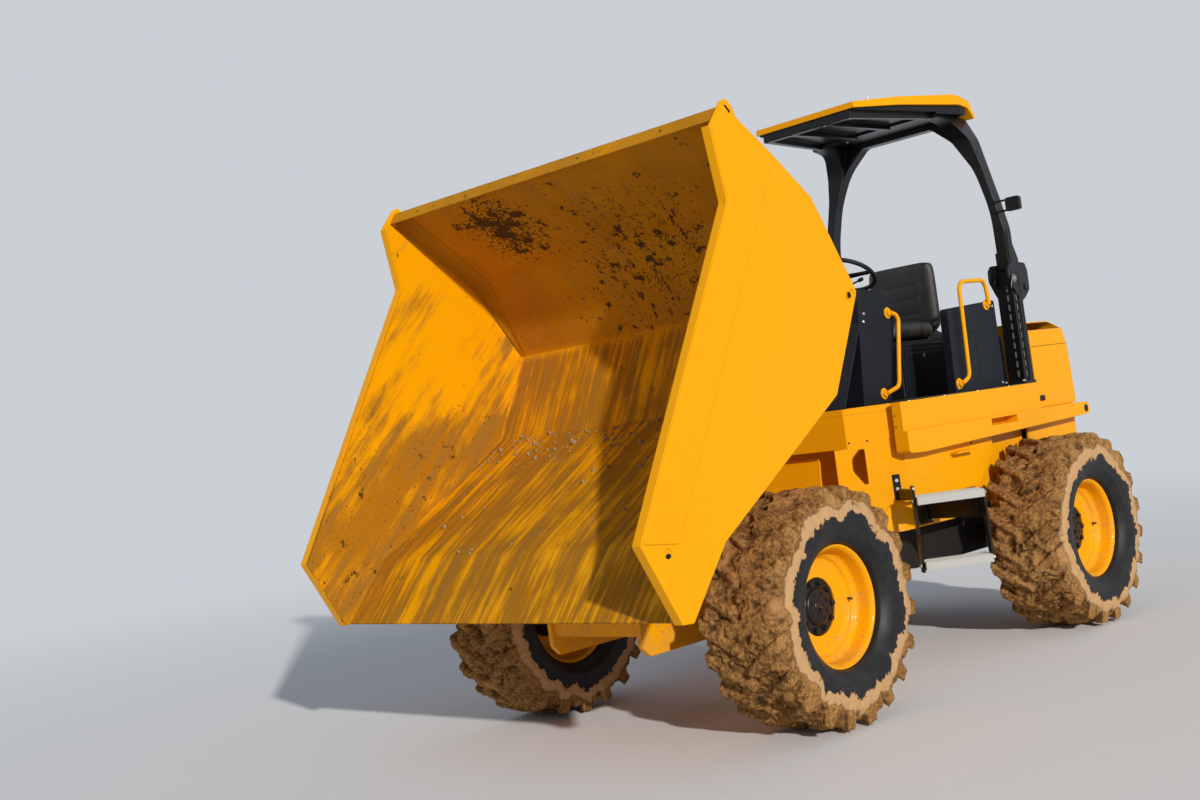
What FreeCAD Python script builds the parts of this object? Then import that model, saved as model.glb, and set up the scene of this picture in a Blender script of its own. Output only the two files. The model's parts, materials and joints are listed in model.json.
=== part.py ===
import FreeCAD, Part
import math
import os
import re

import Sketcher

# Site dumper: an articulated, four-wheel, front-tipping skip carrier with a stand-alone
# two-post roof.  Millimetres.  +X is the driver's left, -Y the front, +Z up.
# Sizes are counted from the articulation pin: y = 0 at the pin, z = 0 at the wheels' reference
# plane.  Every finished piece is then placed by (0, datum_y, datum_z), which puts the middle of
# the machine's outline over the origin and the lug tips on the floor.

VALUES = {
    "datum_y": 285.0,
    "datum_z": 24.5,
    # running gear
    "half_wheelbase": 1325.0,
    "wheel_height": 560.0,
    "half_track": 930.0,
    "tyre_half_width": 245.0,
    "tyre_radius": 585.0,
    "carcass_radius": 548.0,
    "bead_radius": 298.3,
    "rim_half_width": 175.0,
    "rim_lip": 298.0,
    "disc_face": 50.0,
    "disc_thick": 14.0,
    "hub_opening": 140.0,
    "lug_count": 20.0,
    "lug_tip": 570.0,
    "lug_root": 500.0,
    "axle_tube": 70.0,
    "axle_bulb": 165.0,
    "hub_gap": 0.5,
    # front chassis
    "cheek_outer": 330.0,
    "cheek_thick": 30.0,
    "yoke_low": 480.0,
    "yoke_high": 900.0,
    "yoke_plate": 40.0,
    "pin_radius": 34.5,
    "pin_bore": 35.0,
    "sleeve_radius": 80.0,
    # skip
    "skip_half": 1220.0,
    "skip_plate": 8.0,
    "skip_fold": 48.0,
    "doubler": 4.0,
    "tip_pivot_y": -1538.0,
    "tip_pivot_z": 1267.0,
    "tip_pin": 30.0,
    "tip_bore": 30.5,
    # rear body
    "panel_half": 700.0,
    "panel_thick": 12.0,
    "panel_low": 770.0,
    "skirt_low": 747.0,
    "skirt_high": 915.0,
    "skirt_half": 630.0,
    "band_low": 1250.0,
    "deck_low": 1440.0,
    "deck_top": 1477.0,
    "sill_half": 760.0,
    "beam_half": 786.0,
    "post_half": 660.0,
    "post_y": 1540.0,
    "post_depth": 100.0,
    "post_width": 120.0,
    "post_top": 2205.0,
    "fold_y": 1640.0,
    "fold_z": 2095.0,
    "lock_y": 1470.0,
    "lock_z": 2150.0,
    "ear_thick": 13.0,
    "hood_half": 690.0,
    "bonnet_y": 2150.0,
    "bonnet_z": 1330.0,
    "wheel_y": 710.0,
    "wheel_z": 2310.0,
    "spoke_count": 3.0,
    "tow_bore": 16.0,
}


class Sizes:
    """Every named size, readable as an attribute."""


d = Sizes()
for alias, amount in VALUES.items():
    setattr(d, alias, amount)

doc = FreeCAD.newDocument("site_dumper")
sheet = doc.addObject("Spreadsheet::Sheet", "Dims")
for row, (alias, amount) in enumerate(VALUES.items(), start=1):
    sheet.set("A%d" % row, alias)
    sheet.set("B%d" % row, repr(amount))
    sheet.setAlias("B%d" % row, alias)
doc.recompute()

finished = []


def bound(text):
    """A sum of named sizes written for a property, each name read from the sheet."""
    return re.sub(r"[a-z][a-z_0-9]*", lambda word: "Dims." + word.group(0), text)


def rounded_loop(corners, closed=True):
    """Lines and arcs through corners (u, v) or (u, v, radius)."""
    count = len(corners)
    parts = []
    for index, corner in enumerate(corners):
        here = FreeCAD.Vector(corner[0], corner[1], 0)
        radius = corner[2] if len(corner) > 2 else 0.0
        ends = not closed and index in (0, count - 1)
        if radius <= 0.0 or ends:
            parts.append((here, here, None))
            continue
        before = FreeCAD.Vector(corners[index - 1][0], corners[index - 1][1], 0) - here
        after = FreeCAD.Vector(corners[(index + 1) % count][0], corners[(index + 1) % count][1], 0) - here
        before.normalize()
        after.normalize()
        half = math.acos(max(-1.0, min(1.0, before.dot(after)))) / 2.0
        reach = radius / math.tan(half)
        middle = before + after
        if middle.Length < 1e-6:
            parts.append((here, here, None))
            continue
        middle.normalize()
        start = here + before * reach
        end = here + after * reach
        bulge = here + middle * (radius / math.sin(half) - radius)
        parts.append((start, end, bulge))
    edges = []
    for index, (start, end, bulge) in enumerate(parts):
        if bulge is not None:
            edges.append(Part.Arc(start, bulge, end))
        if index == count - 1 and not closed:
            break
        following = parts[(index + 1) % count][0]
        if end.distanceToPoint(following) > 1e-6:
            edges.append(Part.LineSegment(end, following))
    return edges


class Piece:
    """One solid of the machine, built as a body of sketched features."""

    PLANES = {"XY": "XY_Plane", "XZ": "XZ_Plane", "YZ": "YZ_Plane"}

    def __init__(self, name, place=None, spin=None):
        self.name = name
        self.body = doc.addObject("PartDesign::Body", name)
        self.body.Label = name
        self.body.AllowCompound = True
        self.count = 0
        self.last = None
        place = place or ("0", "0", "0")
        if spin is not None:
            self.body.Placement = FreeCAD.Placement(FreeCAD.Vector(), spin)
        for axis, text, datum in zip("xyz", place, ("", " + datum_y", " + datum_z")):
            self.body.setExpression("Placement.Base." + axis, bound(text + datum))
        finished.append(self.body)

    def origin(self, role):
        return [item for item in self.body.Origin.OriginFeatures if item.Role == role][0]

    def label(self, kind):
        self.count += 1
        return "%s_%s_%d" % (self.name, kind, self.count)

    def sketch(self, plane, offset, loops, tilt=None):
        flat = self.body.newObject("Sketcher::SketchObject", self.label("outline"))
        flat.AttachmentSupport = (self.origin(self.PLANES[plane]), [""])
        flat.MapMode = "FlatFace"
        if tilt is not None:
            flat.AttachmentOffset = tilt
        elif offset is not None:
            flat.setExpression("AttachmentOffset.Base.z", bound(offset))
        for loop in loops:
            if isinstance(loop, dict):
                centre = FreeCAD.Vector(loop["u"], loop["v"], 0)
                flat.addGeometry(Part.Circle(centre, FreeCAD.Vector(0, 0, 1), loop["r"]), False)
            else:
                for edge in rounded_loop(loop):
                    flat.addGeometry(edge, False)
        flat.Visibility = False
        return flat

    def pad(self, plane, low, high, loops):
        """Material between two planes; low and high are sums of named sizes."""
        offset = "0 - (%s)" % high if plane == "XZ" else low
        flat = self.sketch(plane, offset, loops)
        solid = self.body.newObject("PartDesign::Pad", self.label("pad"))
        solid.Profile = flat
        solid.setExpression("Length", bound("(%s) - (%s)" % (high, low)))
        self.body.Tip = solid
        self.last = solid
        return solid

    def cut(self, plane, low, high, loops):
        """Material taken away between two planes."""
        offset = "0 - (%s)" % high if plane == "XZ" else low
        flat = self.sketch(plane, offset, loops)
        hole = self.body.newObject("PartDesign::Pocket", self.label("cut"))
        hole.Profile = flat
        hole.Reversed = True
        hole.setExpression("Length", bound("(%s) - (%s)" % (high, low)))
        self.body.Tip = hole
        self.last = hole
        return hole

    def turned(self, plane, axis, loops, take=False):
        """A profile turned once round one of the body's own axes."""
        flat = self.sketch(plane, None, loops)
        kind = "PartDesign::Groove" if take else "PartDesign::Revolution"
        solid = self.body.newObject(kind, self.label("turn"))
        solid.Profile = flat
        solid.ReferenceAxis = (self.origin(axis), [""])
        solid.Angle = 360.0
        self.body.Tip = solid
        self.last = solid
        return solid

    def around(self, features, axis, count):
        """The same features repeated evenly round an axis."""
        pattern = self.body.newObject("PartDesign::PolarPattern", self.label("ring"))
        pattern.Originals = features
        pattern.Axis = (self.origin(axis), [""])
        pattern.Angle = 360.0
        pattern.setExpression("Occurrences", bound(count))
        self.body.Tip = pattern
        self.last = pattern
        return pattern

    def both_sides(self, features, plane="YZ_Plane"):
        """The same features on the machine's other side."""
        mirror = self.body.newObject("PartDesign::Mirrored", self.label("mirror"))
        mirror.Originals = features
        mirror.MirrorPlane = (self.origin(plane), [""])
        self.body.Tip = mirror
        self.last = mirror
        return mirror

    def tube(self, path, radius, plane, offset):
        """A round bar that follows a bent line drawn on a plane."""
        spine = self.body.newObject("Sketcher::SketchObject", self.label("route"))
        spine.AttachmentSupport = (self.origin(self.PLANES[plane]), [""])
        spine.MapMode = "FlatFace"
        spine.setExpression("AttachmentOffset.Base.z", bound(offset))
        for edge in rounded_loop(path, closed=False):
            spine.addGeometry(edge, False)
        ring = self.body.newObject("Sketcher::SketchObject", self.label("section"))
        ring.AttachmentSupport = (spine, ["Edge1"])
        ring.MapMode = "NormalToEdge"
        ring.MapPathParameter = 0.0
        ring.addGeometry(Part.Circle(FreeCAD.Vector(), FreeCAD.Vector(0, 0, 1), radius), False)
        pipe = self.body.newObject("PartDesign::AdditivePipe", self.label("tube"))
        pipe.Profile = ring
        pipe.Spine = (spine, [])
        self.body.Tip = pipe
        self.last = pipe
        return pipe


def circle(u, v, r):
    return {"u": u, "v": v, "r": r}


def box(u0, v0, u1, v1, r=0.0):
    return [(u0, v0, r), (u1, v0, r), (u1, v1, r), (u0, v1, r)]


# Wheels
# name, side (+1 left), place along the machine
CORNERS = (
    ("front_left", 1, "0 - half_wheelbase"),
    ("front_right", -1, "0 - half_wheelbase"),
    ("rear_left", 1, "half_wheelbase"),
    ("rear_right", -1, "half_wheelbase"),
)


def tyre(name, side, along):
    piece = Piece("tyre_" + name, (("" if side > 0 else "0 - ") + "half_track", along, "wheel_height"))
    w = d.tyre_half_width
    profile = [
        (-195, d.bead_radius), (-w + 12, 345), (-w, 420), (-w + 8, 490), (-205, 528),
        (-120, d.carcass_radius), (120, d.carcass_radius), (205, 528), (w - 8, 490), (w, 420),
        (w - 12, 345), (195, d.bead_radius),
    ]
    piece.turned("XY", "X_Axis", [profile])
    # lug: distance of its inner and outer end from the tyre's middle, lean along the tread
    inner, outer, lean, wide = 12.0, 232.0, 105.0, 52.0
    lugs = []
    for hand, turn in ((1, 0.0), (-1, 180.0 / d.lug_count)):
        corners = [
            (hand * inner, -62.0), (hand * (inner + 55), -62.0 + 10),
            (hand * outer, lean - 20), (hand * outer, lean + wide - 20), (hand * inner, -62.0 + wide),
        ]
        spin = FreeCAD.Rotation(FreeCAD.Vector(1, 0, 0), turn)
        tilt = FreeCAD.Placement(spin.multVec(FreeCAD.Vector(0, 0, d.lug_root)), spin)
        flat = piece.sketch("XY", None, [corners], tilt)
        lug = piece.body.newObject("PartDesign::Pad", piece.label("lug"))
        lug.Profile = flat
        lug.setExpression("Length", bound("lug_tip - lug_root"))
        piece.body.Tip = lug
        lugs.append(lug)
    piece.around(lugs, "X_Axis", "lug_count")
    return piece


def rim(name, side, along):
    piece = Piece("rim_" + name, (("" if side > 0 else "0 - ") + "half_track", along, "wheel_height"))
    w, lip, face = d.rim_half_width, d.rim_lip, d.disc_face
    back = face - d.disc_thick
    profile = [
        (-w, lip), (-w + 15, lip), (-w + 17, 284), (-90, 278), (-70, 250), (60, 250), (85, 278),
        (w - 17, 284), (w - 15, lip), (w, lip), (w, 290), (w - 9, 276), (92, 268), (70, 240),
        (face, 205), (face, d.hub_opening), (back, d.hub_opening), (back, 205), (44, 240), (-64, 240),
        (-84, 268), (-w + 9, 276), (-w, 290),
    ]
    piece.turned("XY", "X_Axis", [[(side * u, v) for u, v in profile]])
    return piece


def hub(name, side, along):
    piece = Piece("hub_" + name, (("" if side > 0 else "0 - ") + "half_track", along, "wheel_height"))
    back = d.disc_face - d.disc_thick
    profile = [
        (-60, 0), (-60, 120), (back - 30.3, 150), (back - 0.3, 150), (back - 0.3, d.hub_opening - 1.5),
        (back + 8, d.hub_opening - 1.5), (back + 8, 84), (62, 76), (62, 0),
    ]
    piece.turned("XY", "X_Axis", [[(side * u, v) for u, v in profile]])
    return piece


for corner, side, along in CORNERS:
    tyre(corner, side, along)
    rim(corner, side, along)
    hub(corner, side, along)


# Axles
def axle(name, along):
    piece = Piece(name, ("0", along, "wheel_height"))
    end = d.half_track - 60 - d.hub_gap
    half = [(0, d.axle_bulb), (90, d.axle_bulb - 5), (170, 120), (230, d.axle_tube), (end - 90, d.axle_tube),
            (end - 60, 105), (end, 105)]
    profile = [(-u, v) for u, v in reversed(half[1:])] + half + [(end, 0), (-end, 0)]
    piece.turned("XY", "X_Axis", [profile])
    # cover of the reduction gear, towards the middle of the machine
    return piece


axle("front_axle", "0 - half_wheelbase")
axle("rear_axle", "half_wheelbase")


# Front chassis
front = Piece("front_chassis")
py, pz = d.tip_pivot_y, d.tip_pivot_z
cheek = [
    (-1900, 470, 40), (-1900, 700, 60), (-1690, 1010, 80), (py - 62, pz + 62, 60), (py + 62, pz + 62, 60),
    (-1330, 1010, 80), (-760, 1010, 60), (-690, 900, 30), (-690, 418, 30), (-1850, 418, 30),
]
left_cheek = front.pad("YZ", "cheek_outer - cheek_thick", "cheek_outer", [
    cheek, circle(-d.half_wheelbase, d.wheel_height, d.axle_tube + 0.3), circle(py, pz, d.tip_bore)])
front.both_sides([left_cheek])
front.pad("XZ", "0 - 1885", "0 - 1860", [box(-301, 520, 301, 860, 30)])
front.pad("XZ", "0 - 740", "0 - 700", [box(-301, 440, 301, 960, 30)])
neck = [(-318, -760), (318, -760), (318, -690), (225, -560), (210, -320), (92, 60, 90), (-92, 60, 90),
        (-210, -320), (-225, -560), (-318, -690)]
front.pad("XY", "yoke_low", "yoke_low + yoke_plate", [neck, circle(0, 0, d.pin_radius - 4)])
front.pad("XY", "yoke_high", "yoke_high + yoke_plate", [neck, circle(0, 0, d.pin_radius - 4)])
web = front.pad("XY", "yoke_low + 20", "yoke_high + 20", [[(185, -705), (205, -705), (205, -330), (185, -330)]])
front.both_sides([web])
front.pad("XY", "yoke_low - 15", "yoke_high + yoke_plate + 15", [circle(0, 0, d.pin_radius)])
# two plates that take the steering ram's rod
for low, high in (("640", "668"), ("712", "740")):
    front.pad("XY", low, high, [[(195, -460), (195, -300), (262, -112, 30), (338, -112, 30), (338, -190, 30),
                                 (300, -300)], circle(300, -150, 16.5)])
# foot of the tipping ram
foot = front.pad("YZ", "34", "54", [[(-1110, 425), (-1110, 462), (-1052, 552, 46), (-948, 552, 46), (-890, 462),
                                     (-890, 425)]])
front.both_sides([foot])
front.pad("YZ", "0 - 54", "54", [circle(-1000, 500, 20)])
front.pad("XY", "418", "438", [box(-301, -1120, 301, -880)])
for along in (-1120, -900):
    front.pad("XZ", "%d" % along, "%d" % (along + 20), [box(-301, 419, 301, 520)])
# rolled guard between the front wheels, behind the skip
front.pad("YZ", "0 - 470", "470", [[(-700, 930, 0), (-560, 930, 60), (-470, 1040, 60), (-455, 1225, 20),
                                    (-463, 1225, 0), (-478, 1045, 54), (-566, 938, 54), (-700, 938, 0)]])


def strip(points, thick):
    """Closed outline of a sheet whose one face follows the points; the sheet lies to the left."""
    shifted = []
    for index, (u, v) in enumerate(points):
        normals = []
        for a, b in ((index - 1, index), (index, index + 1)):
            if a < 0 or b >= len(points):
                continue
            du, dv = points[b][0] - points[a][0], points[b][1] - points[a][1]
            length = math.hypot(du, dv)
            normals.append((-dv / length, du / length))
        nu = sum(n[0] for n in normals)
        nv = sum(n[1] for n in normals)
        size = math.hypot(nu, nv)
        nu, nv = nu / size, nv / size
        reach = thick / (nu * normals[0][0] + nv * normals[0][1])
        shifted.append((u + nu * reach, v + nv * reach))
    return list(points) + shifted[::-1]


# Skip, tipped as it stands
# side outline of the skip: place along and height of each corner
PEAK, TOP_STEP, HIGH_BACK = (-1800, 2903), (-1510, 2700), (-1260, 2510)
LOW_BACK, HEEL, TOE = (-990, 2050), (-1270, 1560), (-2220, 1000)
LIP_ROOT, LIP = (-2490, 700), (-2560, 705)
CHIN, NOTCH, BROW = (-2750, 1060), (-1900, 2480), (-1950, 2820)

floor = Piece("skip_floor")
back_line = [PEAK, TOP_STEP, HIGH_BACK, LOW_BACK, HEEL, TOE, LIP_ROOT]
# the top edge is folded forwards and down into a narrow face over the mouth
top_fold = [PEAK, (-1842, 2916), (-1884, 2856)]
floor.pad("YZ", "skip_plate - skip_half", "skip_half - skip_plate", [strip(back_line, -d.skip_plate)])
floor.pad("YZ", "skip_plate - skip_half", "skip_half - skip_plate", [strip(top_fold, d.skip_plate)])

lifting_ear = [(-1852, 2935, 12), (-1812, 2950, 22), (-1772, 2918, 18), (-1752, 2866, 40)]
side_outline = [TOP_STEP, HIGH_BACK, LOW_BACK + (40,), HEEL, TOE, LIP_ROOT + (15,), LIP,
                CHIN + (20,), NOTCH + (60,), BROW + (30,)] + lifting_ear
ear_slot = [(-1835, 2907, 6), (-1791, 2883, 6), (-1785, 2895, 6), (-1829, 2919, 6)]
mouth_fold = strip([LIP, CHIN, NOTCH, BROW], -d.skip_plate)
# a second plate stiffens the front of each side, up to the seam seen from outside
stiffener = [(-2738, 1063, 18), (-1893, 2482, 60), (-1941, 2818, 26), (-1852, 2924, 10), (-1800, 2898, 20),
             (-1517, 2693), (-2520, 1036)]
SIDE_HOLES = ((-2590, 1005), (-1040, 2040))
for name, hand in (("skip_side_left", 1), ("skip_side_right", -1)):
    cheek_plate = Piece(name)
    layers = (
        ("pad", "skip_half - skip_plate", "skip_half", [side_outline, ear_slot]),
        ("pad", "skip_half - skip_fold", "skip_half - skip_plate + 1", [mouth_fold]),
        ("pad", "skip_half - 1", "skip_half + doubler", [stiffener]),
        ("cut", "skip_half - 4", "skip_half + doubler + 1", [circle(y, z, 22) for y, z in SIDE_HOLES]),
    )
    for kind, near, far, loops in layers:
        low, high = (near, far) if hand > 0 else ("0 - (%s)" % far, "0 - (%s)" % near)
        shape_by = cheek_plate.pad if kind == "pad" else cheek_plate.cut
        shape_by("YZ", low, high, loops)

SEAT = 0.3


def beside(a, b, share):
    """A point that share of the way from corner a to corner b, a seat's gap outside the skip's plate."""
    du, dv = b[0] - a[0], b[1] - a[1]
    length = math.hypot(du, dv)
    return (a[0] + du * share - dv / length * SEAT, a[1] + dv * share + du / length * SEAT)


frame = Piece("skip_frame")
heel_gap = (HEEL[0] + 0.35, HEEL[1] - 0.35)
rib = [beside(LOW_BACK, HEEL, 0.393), heel_gap, beside(HEEL, TOE, 0.926), (-2122, 990), (-1700, 1240), (py - 64, pz - 64, 62),
       (py + 66, pz - 64, 62), (-1400, 1395), (-1205, 1490), (-1040, 1822)]
lug = frame.pad("YZ", "cheek_outer + 12", "cheek_outer + 42", [rib])
pin = frame.pad("YZ", "cheek_outer - cheek_thick - 6", "cheek_outer + 14", [circle(py, pz, d.tip_pin)])
frame.both_sides([lug, pin])
eye_y, eye_z = -1330.0, 1400.0
ear = frame.pad("YZ", "34", "54", [[(heel_gap[0] + 14, heel_gap[1] + 8), beside(HEEL, TOE, 0.18),
                                    (-1392, 1362, 40), (eye_y, 1340, 40), (-1270, 1385, 40)],
                                   circle(eye_y, eye_z, 20.5)])
frame.both_sides([ear])
# cross ribs that tie the two long ribs
cross_low, cross_high = "0 - cheek_outer - 14", "cheek_outer + 14"
frame.pad("YZ", cross_low, cross_high, [
    [beside(HEEL, TOE, 0.832), beside(HEEL, TOE, 0.905), (-2112, 1010), (-2040, 1052)]])
frame.pad("YZ", cross_low, cross_high, [
    [beside(LOW_BACK, HEEL, 0.607), beside(LOW_BACK, HEEL, 0.768), (-1160, 1648), (-1112, 1730)]])
frame.pad("YZ", cross_low, cross_high, [
    [beside(LOW_BACK, HEEL, 0.94), heel_gap, beside(HEEL, TOE, 0.02), (-1268, 1500), (-1225, 1510)]])


# Rams
# name, barrel radius, rod radius, eye radius, bore of the eyes, half width of the eyes,
# start of the barrel, closed length of the barrel, length of the rod
RAM_SIZES = {
    "tip": (50.0, 26.0, 44.0, 20.5, 28.0, 82.0, 610.0, 630.0),
    "steer": (38.0, 18.0, 34.0, 16.5, 20.0, 58.0, 395.0, 385.0),
}


def ram(name, place, spin, length):
    """A barrel and its rod along the body's own Z, with an eye at each end turned round X."""
    barrel, rod, eye, bore, wide, start, closed, rod_length = RAM_SIZES[name]
    tube = Piece(name + "_barrel", place, spin)
    tube.turned("XZ", "Z_Axis", [[
        (0, eye - 6), (wide - 1, eye - 6), (wide - 1, start), (barrel - 6, start), (barrel, start + 8),
        (barrel, closed - 30), (barrel + 4, closed - 30), (barrel + 4, closed), (rod + 0.5, closed),
        (rod + 0.5, start + 12), (0, start + 12)]])
    tube.pad("YZ", "0 - %s" % wide, "%s" % wide, [circle(0, 0, eye), circle(0, 0, bore)])
    bar = Piece(name + "_rod", place, spin)
    inner = length - rod_length
    bar.turned("XZ", "Z_Axis", [[(0, inner), (rod, inner), (rod, length - eye + 6), (0, length - eye + 6)]])
    bar.pad("YZ", "0 - %s" % wide, "%s" % wide, [circle(0, length, eye), circle(0, length, bore)])


foot_y, foot_z = -1000.0, 500.0
tip_length = math.hypot(eye_y - foot_y, eye_z - foot_z)
lean = math.degrees(math.atan2(-(eye_y - foot_y), eye_z - foot_z))
ram("tip", ("0", "0 - 1000", "500"), FreeCAD.Rotation(FreeCAD.Vector(1, 0, 0), lean), tip_length)

steer_rod_x, steer_rod_y, steer_foot_x, steer_foot_y, steer_z = 300.0, -150.0, 240.0, 450.0, 690.0
steer_length = math.hypot(steer_rod_x - steer_foot_x, steer_rod_y - steer_foot_y)
along_ram = FreeCAD.Vector(steer_rod_x - steer_foot_x, steer_rod_y - steer_foot_y, 0)
steer_spin = FreeCAD.Rotation(FreeCAD.Vector(0, 0, 1), FreeCAD.Vector(), along_ram, "ZXY")
ram("steer", ("240", "450", "690"), steer_spin, steer_length)

# Rear chassis
rear = Piece("rear_chassis")
nose_x, nose_y, hip_y = 450.0, -157.0, 30.0
half = d.panel_half
slope = (hip_y - nose_y) / (half - nose_x)


def on_nose(x, out=0.0):
    """A point on the slanted corner of the rear body, moved out from it by a small gap."""
    long = math.hypot(1.0, slope)
    return (x + out * slope / long, nose_y + (x - nose_x) * slope - out / long)


low_nose = on_nose(390)
skirt_start = on_nose(548, -d.panel_thick)
panel = rear.pad("XY", "skirt_low", "band_low", [strip([low_nose, (half, hip_y), (half, 1000)], d.panel_thick)])
# the side steps in below the skirt line, behind a rounded arch at the front corner
step_front = rear.cut("XZ", "0 - 200", "60", [
    [(545, 730), (545, 800, 60), (598, d.skirt_high, 60), (720, d.skirt_high), (720, 730)]])
step_side = rear.cut("YZ", "panel_half - 20", "panel_half + 10", [box(20, 730, 1010, d.skirt_high)])
skirt = rear.pad("XY", "skirt_low", "skirt_high + 12", [
    strip([skirt_start, (d.skirt_half, 50), (d.skirt_half, 889)], d.panel_thick)])
ledge = rear.pad("XY", "skirt_high", "skirt_high + 12", [
    [on_nose(560, -6), (half - 6, hip_y), (half - 6, 889), (d.skirt_half - 6, 889), (d.skirt_half - 6, 60)]])
rear.both_sides([panel, step_front, step_side, skirt, ledge])
outer = [(nose_x, nose_y), (half, hip_y), (half, 1480)]
ring = [(-u, v) for u, v in outer[::-1]] + outer
inset = [(nose_x - 6, nose_y + 12), (half - 12, hip_y + 6), (half - 12, 1468)]
rear.pad("XY", "band_low", "deck_low", [ring, [(-u, v) for u, v in inset[::-1]] + inset])
rear.pad("XY", "panel_low", "panel_low + 12", [box(-d.skirt_half + 6, 200, d.skirt_half - 6, 900)])
rear.pad("XZ", "150", "180", [box(-455, 520, 455, 1260), box(165, 640, 355, 750, 20)])
# inner wall and roof of the rear wheel arch, and a small shelf under the beam
arch_wall = rear.pad("YZ", "628", "640", [[(889, 1258), (889, 790), (1480, 790), (1480, 1258)]])
arch_roof = rear.pad("XY", "band_low - 4", "band_low + 8", [box(630, 889, 690, 1480)])
shelf = rear.pad("XY", "1128", "1140", [box(699, 500, 758, 700)])
rear.both_sides([arch_wall, arch_roof, shelf])
rear.pad("XZ", "888", "900", [box(-689, 770, 689, 1260)])
rear.pad("XY", "yoke_low + yoke_plate + 5", "yoke_high - 5", [circle(0, 0, d.sleeve_radius), circle(0, 0, d.pin_bore)])
rear.pad("XY", "yoke_low + yoke_plate + 40", "yoke_high - 40", [box(-50, 66, 50, 152)])
rear.pad("XZ", "500", "515", [box(150, 600, 394.7, 771)])
rear.pad("XY", "640", "666", [[(200, 502), (200, 410, 34), (280, 410, 34), (280, 502)]])
rear.pad("XY", "714", "740", [[(200, 502), (200, 410, 34), (280, 410, 34), (280, 502)]])
rear.pad("XY", "636", "744", [circle(240, 450, 16)])
arch = rear.cut("YZ", "panel_half - 60", "panel_half + 10", [circle(d.half_wheelbase, d.wheel_height, 630)])
hand_hold = rear.cut("XZ", "0 - 190", "0 - 60", [
    [(524, 1040, 8), (524, 1240, 8), (497, 1240, 10), (458, 1190, 50), (456, 1120, 50), (500, 1040, 8)]])
rear.both_sides([arch, hand_hold])

rails = Piece("chassis_rails")
rail = rails.pad("YZ", "395", "425", [[(180.3, 520, 30), (180.3, 769.7), (2050, 769.7), (2050, 560, 60),
                                       (1700, 480, 60), (400, 480, 60)],
                                      circle(d.half_wheelbase, d.wheel_height, d.axle_tube + 0.3)])
rails.both_sides([rail])

tail = Piece("tail_frame")
side = tail.pad("YZ", "676", "688", [[(1480.3, 1100), (1480.3, 1309), (2130, 1309), (2130, 700, 60), (2000, 620, 60),
                                      (1940, 760, 80), (1700, 1100, 60)]])
hinge_ear = tail.pad("YZ", "300", "314", [[(2120, 1280), (2120, 1308), (2140, 1341, 10), (2161, 1341, 10),
                                           (2161, 1319, 10), (2134, 1300), (2129, 1280)],
                                          circle(d.bonnet_y, d.bonnet_z, 7.5)])
tail.both_sides([side, hinge_ear])
tail.pad("XZ", "2118", "2130", [box(-677, 760, 677, 1309)])
tail.pad("XZ", "2050.3", "2075", [box(-677, 560, 677, 780)])
tail.pad("XY", "600", "620", [[(-60, 2060), (60, 2060), (60, 2170, 50), (-60, 2170, 50)], circle(0, 2120, d.tow_bore)])
tail.pad("XY", "690", "710", [[(-60, 2060), (60, 2060), (60, 2170, 50), (-60, 2170, 50)], circle(0, 2120, d.tow_bore)])

engine = Piece("engine_block")
engine.pad("XY", "600", "1240", [[(-394.7, 1530, 30), (394.7, 1530, 30), (394.7, 2040, 30), (-394.7, 2040, 30)]])

# Platform
platform = Piece("platform")
deck = [(nose_x, nose_y), (half, hip_y), (half, 1560)]
platform.pad("XY", "deck_low", "deck_top", [[(-u, v) for u, v in deck[::-1]] + deck])
sill = platform.pad("XY", "band_low + 60", "deck_top", [[(half + 0.3, -40), (d.sill_half, -40), (d.sill_half, 1560),
                                                        (half + 0.3, 1560)]])
beam = platform.pad("YZ", "panel_half + 0.3", "beam_half", [
    [(-45, 1311), (-45, 1188, 22), (110, 1180), (2060, 1222), (2157, 1228, 10), (2157, 1300, 10), (2080, 1306),
     (1560, 1311)],
    box(880, 1258, 1195, 1298, 8), circle(2112, 1262, 20)])
tie = platform.pad("XY", "deck_low", "deck_top", [[(half - 2, 20), (half + 2, 20), (half + 2, 1560), (half - 2, 1560)]])
platform.both_sides([sill, beam, tie])

# Operator's place
console = Piece("console")
console.pad("YZ", "0 - 460", "460", [[(58, 1477.3), (130, 2090, 40), (185, 2157, 30), (372, 2145, 50),
                                      (478, 2040, 50), (480, 1950, 60), (336, 1477.3)]])
skirt = Piece("console_apron")
skirt.pad("YZ", "0 - 470", "470", [strip([(-150, 1477.3), (114.3, 1960)], 8.0)])
# the column leaves the console's sloping rear top and carries the wheel; both are drawn in the
# wheel's own frame, whose Z is the axis that the wheel turns on
lean_back = -30.0
wheel_spin = FreeCAD.Rotation(FreeCAD.Vector(1, 0, 0), lean_back)


def in_wheel_frame(y, z, *rest):
    """A point of the machine's middle plane as the wheel's own frame sees it."""
    seen = wheel_spin.inverted().multVec(FreeCAD.Vector(0, y - d.wheel_y, z - d.wheel_z))
    return (seen.y, seen.z) + rest


column = Piece("steering_column", ("0", "wheel_y", "wheel_z"), wheel_spin)
column.pad("YZ", "0 - 24", "24", [[
    in_wheel_frame(401.2, 2116.9), in_wheel_frame(449.2, 2069.3), in_wheel_frame(598, 2192, 40),
    in_wheel_frame(710.8, 2263.4), in_wheel_frame(669.2, 2287.4), in_wheel_frame(560, 2232, 40)]])
wheel = Piece("steering_wheel", ("0", "wheel_y", "wheel_z"), wheel_spin)
wheel.turned("XZ", "Z_Axis", [[(0, -39.7), (30, -39.7), (36, -24), (36, -10), (20, -4), (0, -4)]])
wheel.turned("XZ", "Z_Axis", [circle(190, 0, 14)])
spoke = wheel.pad("XY", "0 - 20", "0 - 8", [[(20, -20), (120, -14), (190, -14), (190, 14), (120, 14), (20, 20)]])
wheel.around([spoke], "Z_Axis", "spoke_count")

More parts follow.
